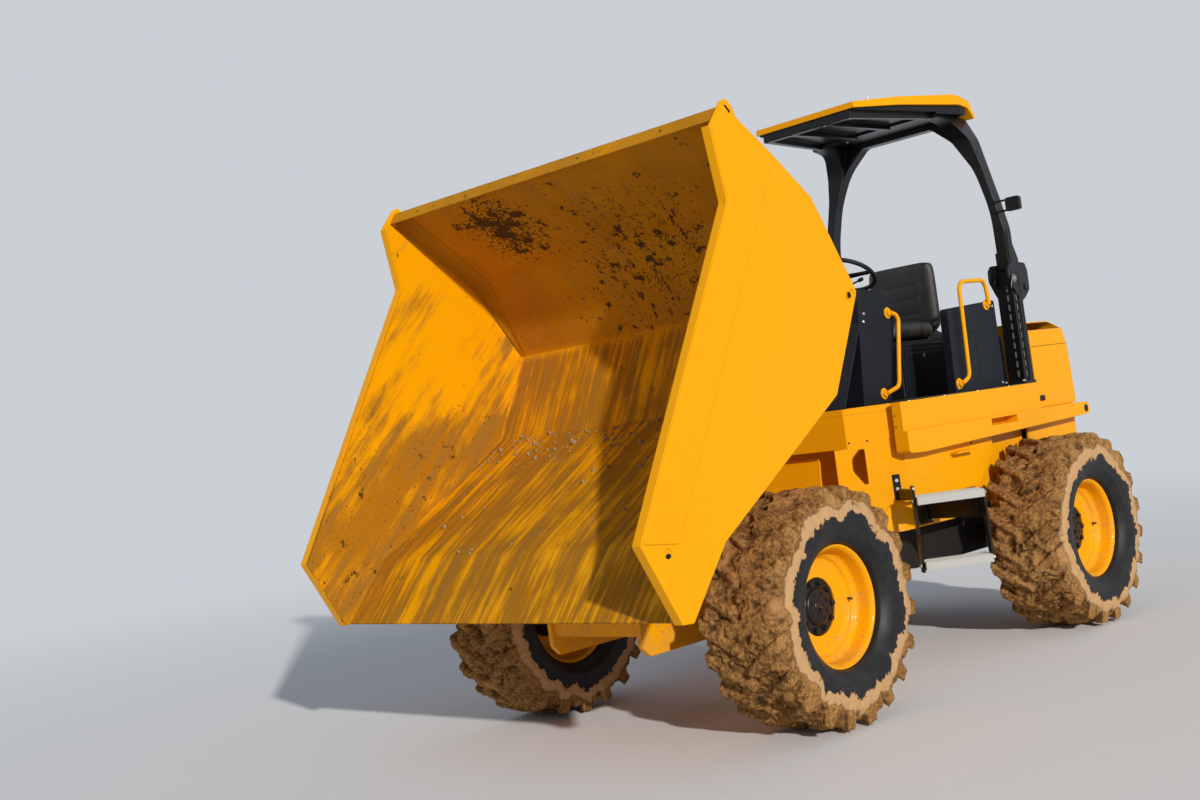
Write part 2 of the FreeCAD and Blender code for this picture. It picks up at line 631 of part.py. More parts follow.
seat_base = Piece("seat_base")
seat_base.pad("XY", "deck_top + 0.3", "1730", [box(-270, 800, 270, 1330, 20)])
seat_base.pad("XY", "1730", "1850", [box(-190, 860, 190, 1290, 30)])
seat_base.pad("XY", "deck_top + 0.3", "1899.7", [box(-180, 1302, 180, 1470, 12)])
# pleated cover behind the back rest
for level in range(5):
    seat_base.pad("XY", "%d" % (1895 + level * 28), "%d" % (1911 + level * 28), [box(-172, 1402, 172, 1466, 12)])
seat_base.pad("XY", "1899", "2030", [box(-160, 1412, 160, 1456, 8)])
cushion = Piece("seat_cushion")
cushion.pad("XY", "1850.3", "1975", [box(-250, 800, 250, 1300, 50)])
backrest = Piece("seat_back")
backrest.pad("XZ", "1308.5", "1398", [box(-250, 1900, 250, 2362, 60)])

panels = Piece("side_panels")
near = panels.pad("YZ", "600", "655", [[(746, 1477.3), (772, 1992, 30), (1339.5, 2028, 20), (1339.5, 1477.3)]])
panels.both_sides([near])

# hand rails: a bent round bar in a side plane, each end on a foot that stands on its panel
rails = Piece("grab_rails")
rails.tube([(270, 1534), (405, 1567, 50), (498, 1985, 45), (420, 2008)], 13.0, "YZ", "484")
front_rail = rails.last
front_low = rails.pad("YZ", "460.3", "480", [circle(270, 1534, 20)])
front_top = rails.pad("YZ", "460.3", "480", [circle(420, 2008, 20)])
rails.tube([(790, 1533), (880, 1568, 50), (905, 2150, 60), (1215, 2155, 60), (1232, 2000)], 13.0, "YZ", "680")
rear_rail = rails.last
rear_low = rails.pad("YZ", "655.3", "676", [circle(790, 1533, 20)])
rear_top = rails.pad("YZ", "655.3", "676", [circle(1232, 2000, 20)])
rails.both_sides([front_rail, front_low, front_top, rear_rail, rear_low, rear_top])

# ladder: two rails and two serrated treads, set askew to clear the turning front wheel
LADDER_FOOT, LADDER_HEAD = (800.0, -110.0), (1085.0, 165.0)
LADDER_WIDTH = math.hypot(LADDER_HEAD[0] - LADDER_FOOT[0], LADDER_HEAD[1] - LADDER_FOOT[1])
RAIL_THICK = 12.5
TREAD_LEVELS = (545.0, 905.0)


def on_ladder(hand, along, out):
    """A point that far along the ladder's width and that far outwards, on the left or right side."""
    ux = (LADDER_HEAD[0] - LADDER_FOOT[0]) / LADDER_WIDTH
    uy = (LADDER_HEAD[1] - LADDER_FOOT[1]) / LADDER_WIDTH
    return (hand * (LADDER_FOOT[0] + ux * along + uy * out), LADDER_FOOT[1] + uy * along - ux * out)


def ladder(name, hand):
    """Two upright flat bars with the arms that carry them from the side panel."""
    piece = Piece(name)
    skirt_face = hand * (d.skirt_half + 0.3)
    for start, high in ((0.0, "1010"), (LADDER_WIDTH - RAIL_THICK, "950")):
        end = start + RAIL_THICK
        piece.pad("XY", "530", high, [[on_ladder(hand, start, -30), on_ladder(hand, end, -30),
                                       on_ladder(hand, end, 30), on_ladder(hand, start, 30)]])
    clip = [on_nose(632, 0.3), on_nose(664, 0.3), on_nose(664, 8.3), on_nose(632, 8.3)]
    arm = [on_nose(640, 0.3), on_ladder(1, 6, 30), on_ladder(1, 6, -30), on_nose(680, 0.3)]
    piece.pad("XY", "930", "1075", [[(hand * x, y) for x, y in clip]])
    piece.pad("XY", "930", "990", [[(hand * x, y) for x, y in arm]])
    piece.pad("XY", "790", "900", [[(skirt_face, 205), (skirt_face, 285), on_ladder(hand, LADDER_WIDTH - 4, -10),
                                    on_ladder(hand, LADDER_WIDTH - 60, -60)]])
    return piece


def treads(name, hand):
    """Two open treads held between the rails."""
    piece = Piece(name)
    low, high = RAIL_THICK + 0.3, LADDER_WIDTH - RAIL_THICK - 0.3
    for level in TREAD_LEVELS:
        piece.pad("XY", "%s" % level, "%s" % (level + 42), [
            [on_ladder(hand, low, -80), on_ladder(hand, high, -80), on_ladder(hand, high, 70),
             on_ladder(hand, low, 70)],
            [on_ladder(hand, low + 8, -74), on_ladder(hand, high - 8, -74), on_ladder(hand, high - 8, 64),
             on_ladder(hand, low + 8, 64)]])
        for bar in (-60, -32, -4, 24):
            piece.pad("XY", "%s" % (level + 36), "%s" % (level + 42), [
                [on_ladder(hand, low + 4, bar), on_ladder(hand, high - 4, bar), on_ladder(hand, high - 4, bar + 20),
                 on_ladder(hand, low + 4, bar + 20)]])
    return piece


for name, hand in (("left", 1), ("right", -1)):
    ladder("ladder_" + name, hand)
    treads("treads_" + name, hand)

# Roll-over hoop
lower = Piece("hoop_base")
post = lower.pad("XY", "deck_top + 0.3", "post_top", [
    box(d.post_half - d.post_width / 2, d.post_y - d.post_depth / 2, d.post_half + d.post_width / 2,
        d.post_y + d.post_depth / 2, 10)])
foot_plate = lower.pad("XY", "deck_top + 0.3", "deck_top + 18", [box(580, 1440, 740, 1590, 10)])
bar = lower.pad("XY", "deck_top + 10", "post_top", [circle(d.post_half + d.post_width / 2, 1552, 20)])
ear_outline = [(1560, 2000), (1500, 2060, 20), (1430, 2150, 50), (1434, 2215, 30), (1470, 2250, 20), (1560, 2256),
               (1660, 2250, 30), (1682, 2200, 20), (1682, 2080, 40), (1620, 2030, 20)]
ear_holes = [circle(d.fold_y, d.fold_z, 15.5), circle(d.lock_y, d.lock_z, 15.5)]
ear_out = lower.pad("YZ", "post_half + post_width / 2 - 1", "post_half + post_width / 2 - 1 + ear_thick", [
    ear_outline] + ear_holes)
ear_in = lower.pad("YZ", "post_half - post_width / 2 + 1 - ear_thick", "post_half - post_width / 2 + 1", [
    ear_outline] + ear_holes)
lower.both_sides([post, foot_plate, bar, ear_out, ear_in])

hoop = Piece("hoop_upper")
LEG_FRONT, LEG_BACK = 1522.0, 1607.0
outer = [(695, 2212), (695, 2480, 300), (650, 2700, 400), (560, 3090, 200), (480, 3256, 20)]
inner = [(625, 2212), (620, 2600, 900), (548, 2880, 700), (440, 3080, 400), (270, 3222, 60)]
arch_outer = outer + [(-u, v) + tuple(r) for u, v, *r in outer[::-1]]
arch_inner = [(-u, v) + tuple(r) for u, v, *r in inner] + inner[::-1]
hoop.pad("XZ", "%s" % LEG_FRONT, "%s" % LEG_BACK, [arch_outer + arch_inner])
# each leg's head flares forwards under the roof
head = hoop.pad("XZ", "1250", "%s" % (LEG_FRONT + 1), [
    [(606, 2880), (560, 3090, 200), (480, 3256), (398, 3256), (436, 3085, 300), (548, 2880)]])
under_head = hoop.cut("YZ", "380", "620", [
    [(1240, 2870), (1240, 3240), (1400, 3215, 150), (1495, 3080, 150), (1521.5, 2900), (1521.5, 2870)]])
# the beam's back edge is bevelled to lie inside the roof's rear flap
hoop.cut("YZ", "0 - 560", "560", [[(1579, 3257.5), (1606, 3228), (1620, 3228), (1620, 3257.5)]])
knuckle = hoop.pad("YZ", "post_half - 50", "post_half + 34", [
    [(1524, 2213), (1524, 2330), (1605, 2330), (1672, 2130, 30), (1672, 2062, 32), (1604, 2062, 22), (1604, 2213)]])
fin = hoop.pad("YZ", "668", "680", [
    [(1560, 2270), (1560, 2490), (1576, 2490, 8), (1655, 2345, 40), (1682, 2285, 30), (1682, 2150, 30), (1612, 2140),
    (1603, 2222)]])
tube = hoop.pad("XY", "2214", "2470", [circle(693, 1562, 18)])
hinge_pin = hoop.pad("YZ", "post_half - 78", "post_half + 78", [circle(d.fold_y, d.fold_z, 15)])
hoop.both_sides([head, under_head, knuckle, fin, tube, hinge_pin])

# roof: a moulded cap, narrower at the front, over a dark tray with bars
cap_top = [(500, 3316), (900, 3356, 900), (1400, 3379, 300), (1562, 3346, 40), (1624, 3236)]
cap_under = [(1604, 3232), (1542, 3300, 20), (1440, 3314), (900, 3304), (500, 3280)]
roof = Piece("roof_panel")
roof.pad("YZ", "0 - 552", "552", [cap_top + cap_under])
roof_frame = Piece("roof_frame")
tray_top = [(514, 3280.5), (900, 3303.7), (1440, 3313.7), (1530, 3301.3)]
roof_frame.pad("YZ", "0 - 536", "536", [
    [(514, 3226)] + tray_top + [(1530, 3256.3), (1245, 3256.3), (1245, 3238)]])
# what is left under the tray's plate: a bar across the front and four bars back to the hoop
roof_frame.cut("XY", "3200", "3270", [
    [(-112, 555), (112, 555), (112, 1247), (-112, 1247)]])
for hand in (1, -1):
    roof.cut("XY", "3200", "3450", [[(hand * 554, 450), (hand * 375, 450), (hand * 375, 500), (hand * 554, 1450)]])
    roof_frame.cut("XY", "3200", "3450", [
        [(hand * 540, 450), (hand * 360, 450), (hand * 360, 514), (hand * 540, 1500)]])
    roof_frame.cut("XY", "3200", "3270", [
        [(hand * 146, 555), (hand * 300, 555), (hand * 412, 1247), (hand * 146, 1247)]])
    roof_frame.cut("XY", "3200", "3270", [
        [(hand * 334, 500), (hand * 446, 1247), (hand * 545, 1247), (hand * 380, 500)]])
mirrors = Piece("mirrors")
arms = mirrors.pad("XZ", "1512", "1521.7", [box(655, 2582, 752, 2594), box(655, 2648, 752, 2660)])
glass_box = mirrors.pad("XZ", "1492", "1521.7", [box(745, 2576, 842, 2664, 16)])
mirrors.both_sides([arms, glass_box])

# Hood
hood = Piece("hood")
wall = 8.0
hood.pad("YZ", "0 - hood_half", "hood_half", [[
    (1662, 1309.5), (1662, 1872), (2085, 1872, 60), (2160, 1700, 200), (2180, 1309.5)]])
hood.cut("YZ", "0 - hood_half + %s" % wall, "hood_half - %s" % wall, [[
    (1670, 1300), (1670, 1864), (2080, 1864, 52), (2152, 1699, 192), (2172, 1300)]])
for hand in (1, -1):
    hood.cut("XZ", "1600", "2300", [[(hand * 700, 1800), (hand * 600, 1880), (hand * 700, 1880)]])
knuckle = hood.pad("YZ", "320", "332", [[(2138, 1316, 10), (2138, 1344, 10), (2174, 1370), (2174, 1312)]])
bolt = hood.pad("YZ", "296", "324", [circle(d.bonnet_y, d.bonnet_z, 7)])
hood.both_sides([knuckle, bolt])


# Hand over
doc.recompute()
os.makedirs("parts", exist_ok=True)
faults = []
for item in doc.Objects:
    if "Invalid" in item.State or "Error" in item.State:
        faults.append("%s: %s" % (item.Name, item.State))
for item in finished:
    shape = item.Shape
    if shape.isNull() or not shape.isValid() or shape.Volume <= 0:
        faults.append("%s has no sound shape" % item.Label)
        continue
    shape.exportStep("parts/%s.step" % item.Label)
for fault in faults:
    print("FAULT", fault)
print(len(finished), "pieces")
if faults:
    raise SystemExit("some pieces are faulty")
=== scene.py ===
"""Looks of the articulated site dumper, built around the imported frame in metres.

Each class makes the looks of one sub-assembly: it reads places from the frame's nodes, makes meshes
with numpy, gives them procedural finishes and lets them ride on the frame's bodies.
"""

import functools
import itertools
import json
import logging
import math
from dataclasses import dataclass, field
from enum import Enum

import bmesh
import bpy
import numpy as np
from mathutils import Matrix, Vector


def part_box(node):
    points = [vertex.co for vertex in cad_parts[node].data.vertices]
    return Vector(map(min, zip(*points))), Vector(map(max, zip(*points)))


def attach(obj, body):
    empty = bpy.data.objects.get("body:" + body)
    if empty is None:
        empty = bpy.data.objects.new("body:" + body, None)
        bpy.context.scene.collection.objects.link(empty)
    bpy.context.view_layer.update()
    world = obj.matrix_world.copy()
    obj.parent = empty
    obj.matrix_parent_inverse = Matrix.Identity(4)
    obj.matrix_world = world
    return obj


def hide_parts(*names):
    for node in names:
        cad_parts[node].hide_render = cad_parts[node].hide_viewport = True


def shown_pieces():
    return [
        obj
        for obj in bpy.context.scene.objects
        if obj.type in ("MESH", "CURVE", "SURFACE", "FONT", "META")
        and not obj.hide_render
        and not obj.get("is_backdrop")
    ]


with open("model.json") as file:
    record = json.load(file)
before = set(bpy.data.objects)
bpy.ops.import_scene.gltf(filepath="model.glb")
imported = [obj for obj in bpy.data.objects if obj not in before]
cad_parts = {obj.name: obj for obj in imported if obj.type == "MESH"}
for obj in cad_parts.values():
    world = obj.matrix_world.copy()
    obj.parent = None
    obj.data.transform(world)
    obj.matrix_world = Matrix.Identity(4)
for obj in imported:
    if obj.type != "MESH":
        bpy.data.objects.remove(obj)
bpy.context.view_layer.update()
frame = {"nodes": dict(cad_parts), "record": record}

logging.basicConfig(level=logging.INFO, format="%(name)s: %(message)s")
log = logging.getLogger("dumper")

# Sizes taken off the articulation pin, in millimetres, are moved by these to the frame's origin.
PIN_Y = 0.285
WHEEL_PLANE_Z = 0.0245

FULL_TURN = 2.0 * math.pi
# A dark disc of painted shade that stands for a drilled hole starts this far under the plate and ends this far above
# it.
HOLE_SUNK = -0.001
HOLE_PROUD = 0.0006

Place = tuple[float, float, float]
Socket = bpy.types.NodeSocket
Value = float | tuple | Socket
Material = bpy.types.Material

# Directions in the frame; the left side is the one at positive x.
OUT, INWARD = (1.0, 0.0, 0.0), (-1.0, 0.0, 0.0)
AHEAD, UP, DOWN = (0.0, -1.0, 0.0), (0.0, 0.0, 1.0), (0.0, 0.0, -1.0)


class Side(Enum):
    """Which side of the machine a piece sits on, as the sign of its x."""

    LEFT = 1
    RIGHT = -1

    @classmethod
    def named(cls, name: str) -> "Side":
        """The side that a node's or corner's name ends with."""
        return cls.LEFT if name.endswith("left") else cls.RIGHT


class Plane(Enum):
    """The plane that an outline is drawn on, as the axes of its two coordinates and its thickness."""

    SIDE = (1, 2, 0)
    FACE = (0, 2, 1)


@dataclass(frozen=True)
class Finish:
    """What a surface looks like before wear.

    Attributes:
        name: Name of the Blender material.
        slot: The record's material slot.
        color: Linear base colour.
        roughness: Mean roughness.
        metallic: 1 for bare metal.
        coat: Weight of the clear coat.
        grain: Size in metres of the finest bumps.
        bump: Height of those bumps as a strength.
        edge: Radius in metres to which edges shade round.
        dust: Share of dust on what faces up.
        shine: Level of the mirror-like share.
    """

    name: str
    slot: str
    color: tuple[float, float, float]
    roughness: float = 0.45
    metallic: float = 0.0
    coat: float = 0.0
    grain: float = 0.002
    bump: float = 0.05
    edge: float = 0.0
    dust: float = 0.22
    shine: float = 0.30


YELLOW = (0.90, 0.385, 0.001)
YELLOW_DEEP = (0.87, 0.358, 0.001)
# Dark mud of the skip's clots, and also the painted shade in the tyre mud's hollows.
DARK_MUD_AND_PIT_SHADE = (0.050, 0.024, 0.010)
MUD_MID = (0.250, 0.118, 0.022)
MUD_LIGHT = (0.42, 0.235, 0.105)
MUD_TAN = (0.60, 0.365, 0.180)
TREAD_DEEP = (0.20, 0.092, 0.028)
TREAD_PALE = (0.54, 0.280, 0.092)
TREAD_PATCH = (0.56, 0.300, 0.110)
FILM_DEEP = (0.50, 0.290, 0.135)
RUBBER_SMEAR = (0.15, 0.13, 0.11)
CLOD_DEEP = (0.20, 0.11, 0.045)
CLOD_PALE = (0.52, 0.34, 0.17)
# Film colour of the skip: a real stain, and on the upper back also painted shade.
STAIN_AND_SHADE = (0.34, 0.130, 0.006)
DUST = (0.40, 0.27, 0.15)

# Heights in metres between which splashes on the paint thin out upwards.
SPLASH_HEIGHTS = (0.55, 1.20)
# Heights of the upper edge of the dragged soil on the skip's floor, above which the upper back's heavy dark film,
# partly real film and partly painted shade, lies; and of the soil's thinning on the sides.
FLOOR_SOIL_HEIGHTS = (2.02, 2.12)
SIDE_SOIL_HEIGHTS = (1.55, 2.35)
# Angles at which the load drags its fine and broad streaks down the side plates.
FINE_STREAK = math.radians(-44.0)
BROAD_STREAK = math.radians(-55.0)
# Where the load splashed the skip's back, how far that reaches in metres, and how much it adds.
SPLASHES = (((-0.62, -1.27, 2.76), 0.55, 0.20), ((0.15, -0.90, 2.50), 1.30, 0.120))
PAINT_SHINE = 0.10

PAINT = Finish("yellow_paint", "body_yellow", YELLOW, roughness=0.36, coat=0.06, bump=0.03, edge=0.004)
FRAME_BLACK = Finish("black_powder_coat", "frame_black", (0.006, 0.006, 0.007), roughness=0.26, edge=0.009)
AXLE_BLACK = Finish("black_axle_casting", "axle_black", (0.014, 0.013, 0.012), roughness=0.6, bump=0.25,
                    grain=0.003, edge=0.005, dust=0.4)
ENGINE_IRON = Finish("dark_engine_iron", "engine_iron", (0.05, 0.05, 0.05), roughness=0.65, bump=0.25,
                     grain=0.004, edge=0.004)
HUB_BLACK = Finish("black_hub_casting", "hub_black", (0.012, 0.009, 0.008), roughness=0.28, bump=0.12)
COWL = Finish("moulded_cowl_plastic", "cowl_black", (0.006, 0.008, 0.013), bump=0.18, grain=0.0012,
              edge=0.006, dust=0.14, shine=0.22)
# Pale grey fill of the posts' slots: painted light that shows through them.
SLOT_LIGHT_FILL = Finish("painted_slot_light", "frame_black", (0.16, 0.15, 0.13), roughness=0.9, bump=0.2, dust=0.0,
                   shine=0.1)
GRIP = Finish("soft_grip_plastic", "grip_black", (0.010, 0.010, 0.011), roughness=0.5, bump=0.2,
              grain=0.001, edge=0.003)
MAT = Finish("ribbed_deck_rubber", "grip_black", (0.012, 0.012, 0.013), roughness=0.62, bump=0.3,
             edge=0.001, dust=0.5)
SHADE = Finish("dark_recess", "grip_black", (0.006, 0.005, 0.004), roughness=0.9, grain=0.003, dust=0.0)
VINYL = Finish("black_seat_vinyl", "seat_vinyl", (0.012, 0.012, 0.013), bump=0.35)
RUBBER = Finish("tyre_rubber", "tyre_rubber", (0.013, 0.013, 0.015), roughness=0.62, bump=0.15, grain=0.003)
ALLOY = Finish("serrated_alloy", "step_alloy", (0.43, 0.42, 0.39), roughness=0.50, metallic=0.3, bump=0.1,
               edge=0.001, dust=0.5)
ZINC = Finish("zinc_plated_steel", "rod_chrome", (0.55, 0.55, 0.53), roughness=0.34, metallic=0.8,
              grain=0.001, dust=0.1)
CHROME = Finish("chromed_rod", "rod_chrome", (0.80, 0.80, 0.80), roughness=0.09, metallic=1.0, bump=0.01,
                edge=0.002, dust=0.0)


class NodeTree:
    """Nodes of a material or of the world, under construction.

    Args:
        tree: Blender's own tree.
    """

    def __init__(self, tree: bpy.types.NodeTree) -> None:
        """Keeps the tree."""
        self.tree = tree

    def node(self, kind: str, inputs: dict | None = None, **settings: str | int | bool) -> bpy.types.Node:
        """Adds a node.

        Args:
            kind: Blender's node type.
            inputs: Socket name or index to a plain value or to a socket that feeds it.
            **settings: Attributes of the node.

        Returns:
            The node.
        """
        made = self.tree.nodes.new(kind)
        for key, value in settings.items():
            setattr(made, key, value)
        for key, value in (inputs or {}).items():
            self.feed(made.inputs[key], value)
        return made

    def feed(self, socket: Socket, value: Value) -> None:
        """Gives a socket a value or a link.

        Args:
            socket: The socket.
            value: A number, a vector, a colour of three numbers or another node's socket.
        """
        if isinstance(value, Socket):
            self.tree.links.new(value, socket)
        elif isinstance(value, tuple) and len(value) == 3 and len(getattr(socket, "default_value", ())) == 4:
            socket.default_value = (*value, 1.0)
        else:
            socket.default_value = value

    def math(self, operation: str, first: Value, second: Value = 0.0) -> Socket:
        """One arithmetic step."""
        return self.node("ShaderNodeMath", {0: first, 1: second}, operation=operation).outputs[0]

    def most(self, first: Value, second: Value) -> Socket:
        """The larger of two numbers."""
        return self.math("MAXIMUM", first, second)


class Shader(NodeTree):
    """A node material under construction.

    Args:
        name: The material's name.
    """

    def __init__(self, name: str) -> None:
        """Starts from Blender's own surface node."""
        self.material = bpy.data.materials.new(name)
        self.material.use_nodes = True
        super().__init__(self.material.node_tree)
        self.surface = self.tree.nodes["Principled BSDF"]
        self._place = None

    def out(self, **sockets: Value) -> None:
        """Feeds the surface's own sockets, named with _ for a space."""
        for name, value in sockets.items():
            self.feed(self.surface.inputs[name.replace("_", " ")], value)

    def place(self) -> Socket:
        """Object coordinates, which are the frame's own metres."""
        if self._place is None:
            self._place = self.node("ShaderNodeTexCoord").outputs["Object"]
        return self._place

    def axis(self, name: str, vector: Socket | None = None) -> Socket:
        """One of the three numbers of a vector, or of the place."""
        return self.node("ShaderNodeSeparateXYZ", {0: vector or self.place()}).outputs[name]

    def facing(self, name: str) -> Socket:
        """One of the three numbers of the direction that the surface faces."""
        return self.axis(name, self.node("ShaderNodeNewGeometry").outputs["Normal"])

    def stretched(self, scale: Place, turn: float = 0.0) -> Socket:
        """Object coordinates turned about x by an angle in radians, then multiplied along each axis."""
        turned = self.node("ShaderNodeMapping", {"Vector": self.place(), "Rotation": (turn, 0.0, 0.0)})
        return self.node("ShaderNodeMapping", {"Vector": turned.outputs[0], "Scale": scale}).outputs[0]

    def noise(self, scale: float, detail: float = 4.0, rough: float = 0.55,
              where: Socket | None = None) -> Socket:
        """Fractal noise from 0 to 1.

        Args:
            scale: Lumps in a metre.
            detail: Layers of finer noise.
            rough: Share of the finer layers.
            where: Coordinates to read, if not the place.

        Returns:
            The noise.
        """
        inputs = {"Vector": where or self.place(), "Scale": scale, "Detail": detail, "Roughness": rough}
        return self.node("ShaderNodeTexNoise", inputs).outputs["Fac"]

    def times(self, *values: Value) -> Socket:
        """The product of several numbers."""
        return functools.reduce(lambda first, second: self.math("MULTIPLY", first, second), values)

    def plus(self, *values: Value) -> Socket:
        """The sum of several numbers."""
        return functools.reduce(lambda first, second: self.math("ADD", first, second), values)

    def less(self, value: Value) -> Socket:
        """One less a number."""
        return self.math("SUBTRACT", 1.0, value)

    def swing(self, value: Value, gain: float) -> Socket:
        """How far a noise is from its middle, times a gain."""
        return self.times(self.math("SUBTRACT", value, 0.5), gain)

    def near(self, centre: Place, reach: float) -> Socket:
        """1 at a place, falling smoothly to 0 at a distance."""
        away = self.node("ShaderNodeVectorMath", {0: self.place(), 1: centre}, operation="DISTANCE")
        return self.less(self.ramp(away.outputs["Value"], 0.0, reach))

    def ramp(self, value: Value, low: float, high: float) -> Socket:
        """Smooth step of a value from low to high."""
        return self.node("ShaderNodeMapRange", {"Value": value, "From Min": low, "From Max": high},
                         interpolation_type="SMOOTHSTEP").outputs["Result"]

    def mix(self, share: Value, first: Value, second: Value) -> Socket:
        """Mix of two colours.

        Args:
            share: How much of the second.
            first: The colour at 0.
            second: The colour at 1.

        Returns:
            The mixed colour.
        """
        made = self.node("ShaderNodeMix", data_type="RGBA")
        for name, value in (("Factor_Float", share), ("A_Color", first), ("B_Color", second)):
            self.feed(next(item for item in made.inputs if item.identifier == name), value)
        return next(item for item in made.outputs if item.identifier == "Result_Color")

    def blend(self, share: Value, first: Value, second: Value) -> Socket:
        """Mix of two numbers."""
        return self.node("ShaderNodeMix", {"Factor": share, "A": first, "B": second},
                         data_type="FLOAT").outputs["Result"]

    def mottled(self, cloud: Socket) -> Socket:
        """The machine's yellow, deeper where a cloud of noise is low."""
        return self.mix(cloud, YELLOW_DEEP, YELLOW)

    def settled(self, cloud: Socket, start: float, reach: tuple[float, float], share: float) -> Socket:
        """Dust in patches on what faces up.

        Args:
            cloud: Noise that shares it out.
            start: How far a face has to turn up before dust lies on it.
            reach: The noise's values between which it thickens.
            share: How much dust there is at most.

        Returns:
            The share of dust.
        """
        return self.times(self.ramp(self.facing("Z"), start, 1.0), self.ramp(cloud, *reach), share)

    def relief(self, height: Value, strength: Value, distance: float, edge: float = 0.0) -> Socket:
        """Bumps, over edges shaded round where edge is given.

        Args:
            height: Height from 0 to 1.
            strength: How much of the height shows.
            distance: The full height in metres.
            edge: Radius to which edges shade round.

        Returns:
            The direction that the surface seems to face.
        """
        inputs = {"Height": height, "Strength": strength, "Distance": distance}
        if edge > 0.0:
            inputs["Normal"] = self.node("ShaderNodeBevel", {"Radius": edge}, samples=4).outputs["Normal"]
        return self.node("ShaderNodeBump", inputs).outputs["Normal"]


class Finishes:
    """Every material of the machine, each made once."""

    def dress(self, finish: Finish) -> Material:
        """The material of a finish: the paint's and the vinyl's own, and a plain one for the rest."""
        own = {PAINT.name: self.paint, VINYL.name: self.vinyl}
        return own[finish.name]() if finish.name in own else self.plain(finish)

    @functools.cache
    def plain(self, finish: Finish) -> Material:
        """A surface with fine grain, uneven gloss and a little dust on what faces up.

        Args:
            finish: What it looks like before wear.

        Returns:
            The material.
        """
        shader = Shader(finish.name)
        cloud = shader.noise(3.0, 6.0)
        fine = shader.noise(1.0 / finish.grain, 2.0)
        settled = shader.settled(cloud, 0.3, (0.42, 0.68), finish.dust)
        shader.out(
            Base_Color=shader.mix(settled, finish.color, DUST),
            Roughness=shader.blend(cloud, finish.roughness - 0.03, min(1.0, finish.roughness + 0.14)),
            Metallic=finish.metallic, Coat_Weight=finish.coat, Specular_IOR_Level=finish.shine,
            Normal=shader.relief(fine, finish.bump, finish.grain, finish.edge))
        return shader.material

    @functools.cache
    def paint(self) -> Material:
        """The machine's yellow, with faint mottling, splashes low down and dust on level faces."""
        shader = Shader(PAINT.name)
        cloud = shader.noise(2.2, 5.0)
        peel = shader.noise(420.0, 2.0)
        low = shader.less(shader.ramp(shader.axis("Z"), *SPLASH_HEIGHTS))
        specks = shader.ramp(shader.noise(38.0, 4.0, 0.75), 0.56, 0.66)
        smear = shader.times(shader.ramp(shader.noise(5.0, 5.0, 0.6), 0.45, 0.75), 0.45)
        splash = shader.times(low, shader.most(specks, smear), 0.8)
        dirt = shader.most(splash, shader.settled(cloud, 0.5, (0.40, 0.7), PAINT.dust))
        gloss = shader.blend(cloud, PAINT.roughness - 0.04, PAINT.roughness + 0.08)
        shader.out(
            Base_Color=shader.mix(dirt, shader.mottled(cloud), MUD_LIGHT),
            Roughness=shader.blend(dirt, gloss, 0.85),
            Specular_IOR_Level=PAINT_SHINE, Coat_Weight=PAINT.coat, Coat_Roughness=0.12,
            Normal=shader.relief(peel, PAINT.bump, 0.001, PAINT.edge))
        return shader.material

    @functools.cache
    def skip(self, side: Side | None) -> Material:
        """Yellow outside; inside, films of soil dragged as a load slides, with clots where it splashed, and a heavy
        dark film over the upper back that is partly real film and partly painted shade.

        Args:
            side: The side plate that it is for, or None for the floor and back.

        Returns:
            The material.
        """
        shader = Shader("skip_paint_" + (side.name.lower() if side else "floor"))
        height = shader.axis("Z")
        if side is None:
            inside = shader.math("GREATER_THAN", shader.times(shader.facing("Y"), -1.0), 0.05)
            drag = shader.noise(1.0, 6.0, 0.65, shader.stretched((30.0, 1.8, 1.5)))
            wide = shader.noise(1.0, 5.0, 0.6, shader.stretched((4.0, 2.2, 2.0)))
            under = shader.less(shader.ramp(height, *FLOOR_SOIL_HEIGHTS))
            streaks = shader.ramp(shader.plus(shader.times(drag, 0.6), shader.times(wide, 0.5)), 0.42, 0.60)
            # Above the soil line the upper back is covered in the stain colour: partly real film, partly painted
            # shade for the shadow there.
            upper_film_and_shade = shader.blend(shader.noise(1.6, 6.0, 0.65), 0.35, 1.15)
            film_and_shade = shader.most(shader.times(under, streaks), shader.times(shader.less(under), upper_film_and_shade))
            clot, spray = (shader.times(shader.near(place, reach), much) for place, reach, much in SPLASHES)
            level = shader.times(shader.most(clot, spray), shader.blend(under, 1.0, 0.45))
        else:
            inside = shader.math("GREATER_THAN", shader.times(shader.facing("X"), float(-side.value)), 0.5)
            drag = shader.noise(1.0, 6.0, 0.66, shader.stretched((1.0, 1.7, 15.0), FINE_STREAK))
            wide = shader.noise(1.0, 4.0, 0.55, shader.stretched((1.0, 1.8, 3.2), BROAD_STREAK))
            low = shader.less(shader.ramp(height, *SIDE_SOIL_HEIGHTS))
            film_and_shade = shader.ramp(shader.plus(shader.times(drag, 0.55), shader.times(wide, 0.55),
                                           shader.times(low, 0.20)), 0.58, 0.76)
            level = shader.times(low, 0.05)
        clots = shader.noise(13.0, 6.0, 0.75)
        grains = shader.noise(55.0, 4.0, 0.7)
        caked = shader.times(inside, shader.most(shader.ramp(shader.plus(clots, level), 0.665, 0.695),
                                                 shader.ramp(shader.plus(grains, level), 0.685, 0.72)))
        film_and_shade = shader.times(inside, film_and_shade)
        deep = shader.mix(shader.ramp(drag, 0.45, 0.62), STAIN_AND_SHADE, MUD_MID)
        stained_and_shaded = shader.mix(shader.times(film_and_shade, 0.86), shader.mottled(shader.noise(2.0, 6.0)), deep)
        bumps = shader.plus(shader.times(caked, clots), shader.times(film_and_shade, drag, 0.5))
        shader.out(
            Base_Color=shader.mix(shader.times(caked, 0.93), stained_and_shaded, DARK_MUD_AND_PIT_SHADE),
            Roughness=shader.blend(shader.most(film_and_shade, caked), PAINT.roughness, 0.85),
            Specular_IOR_Level=PAINT_SHINE,
            Normal=shader.relief(bumps, shader.blend(inside, 0.02, 0.6), 0.005, 0.006))
        return shader.material

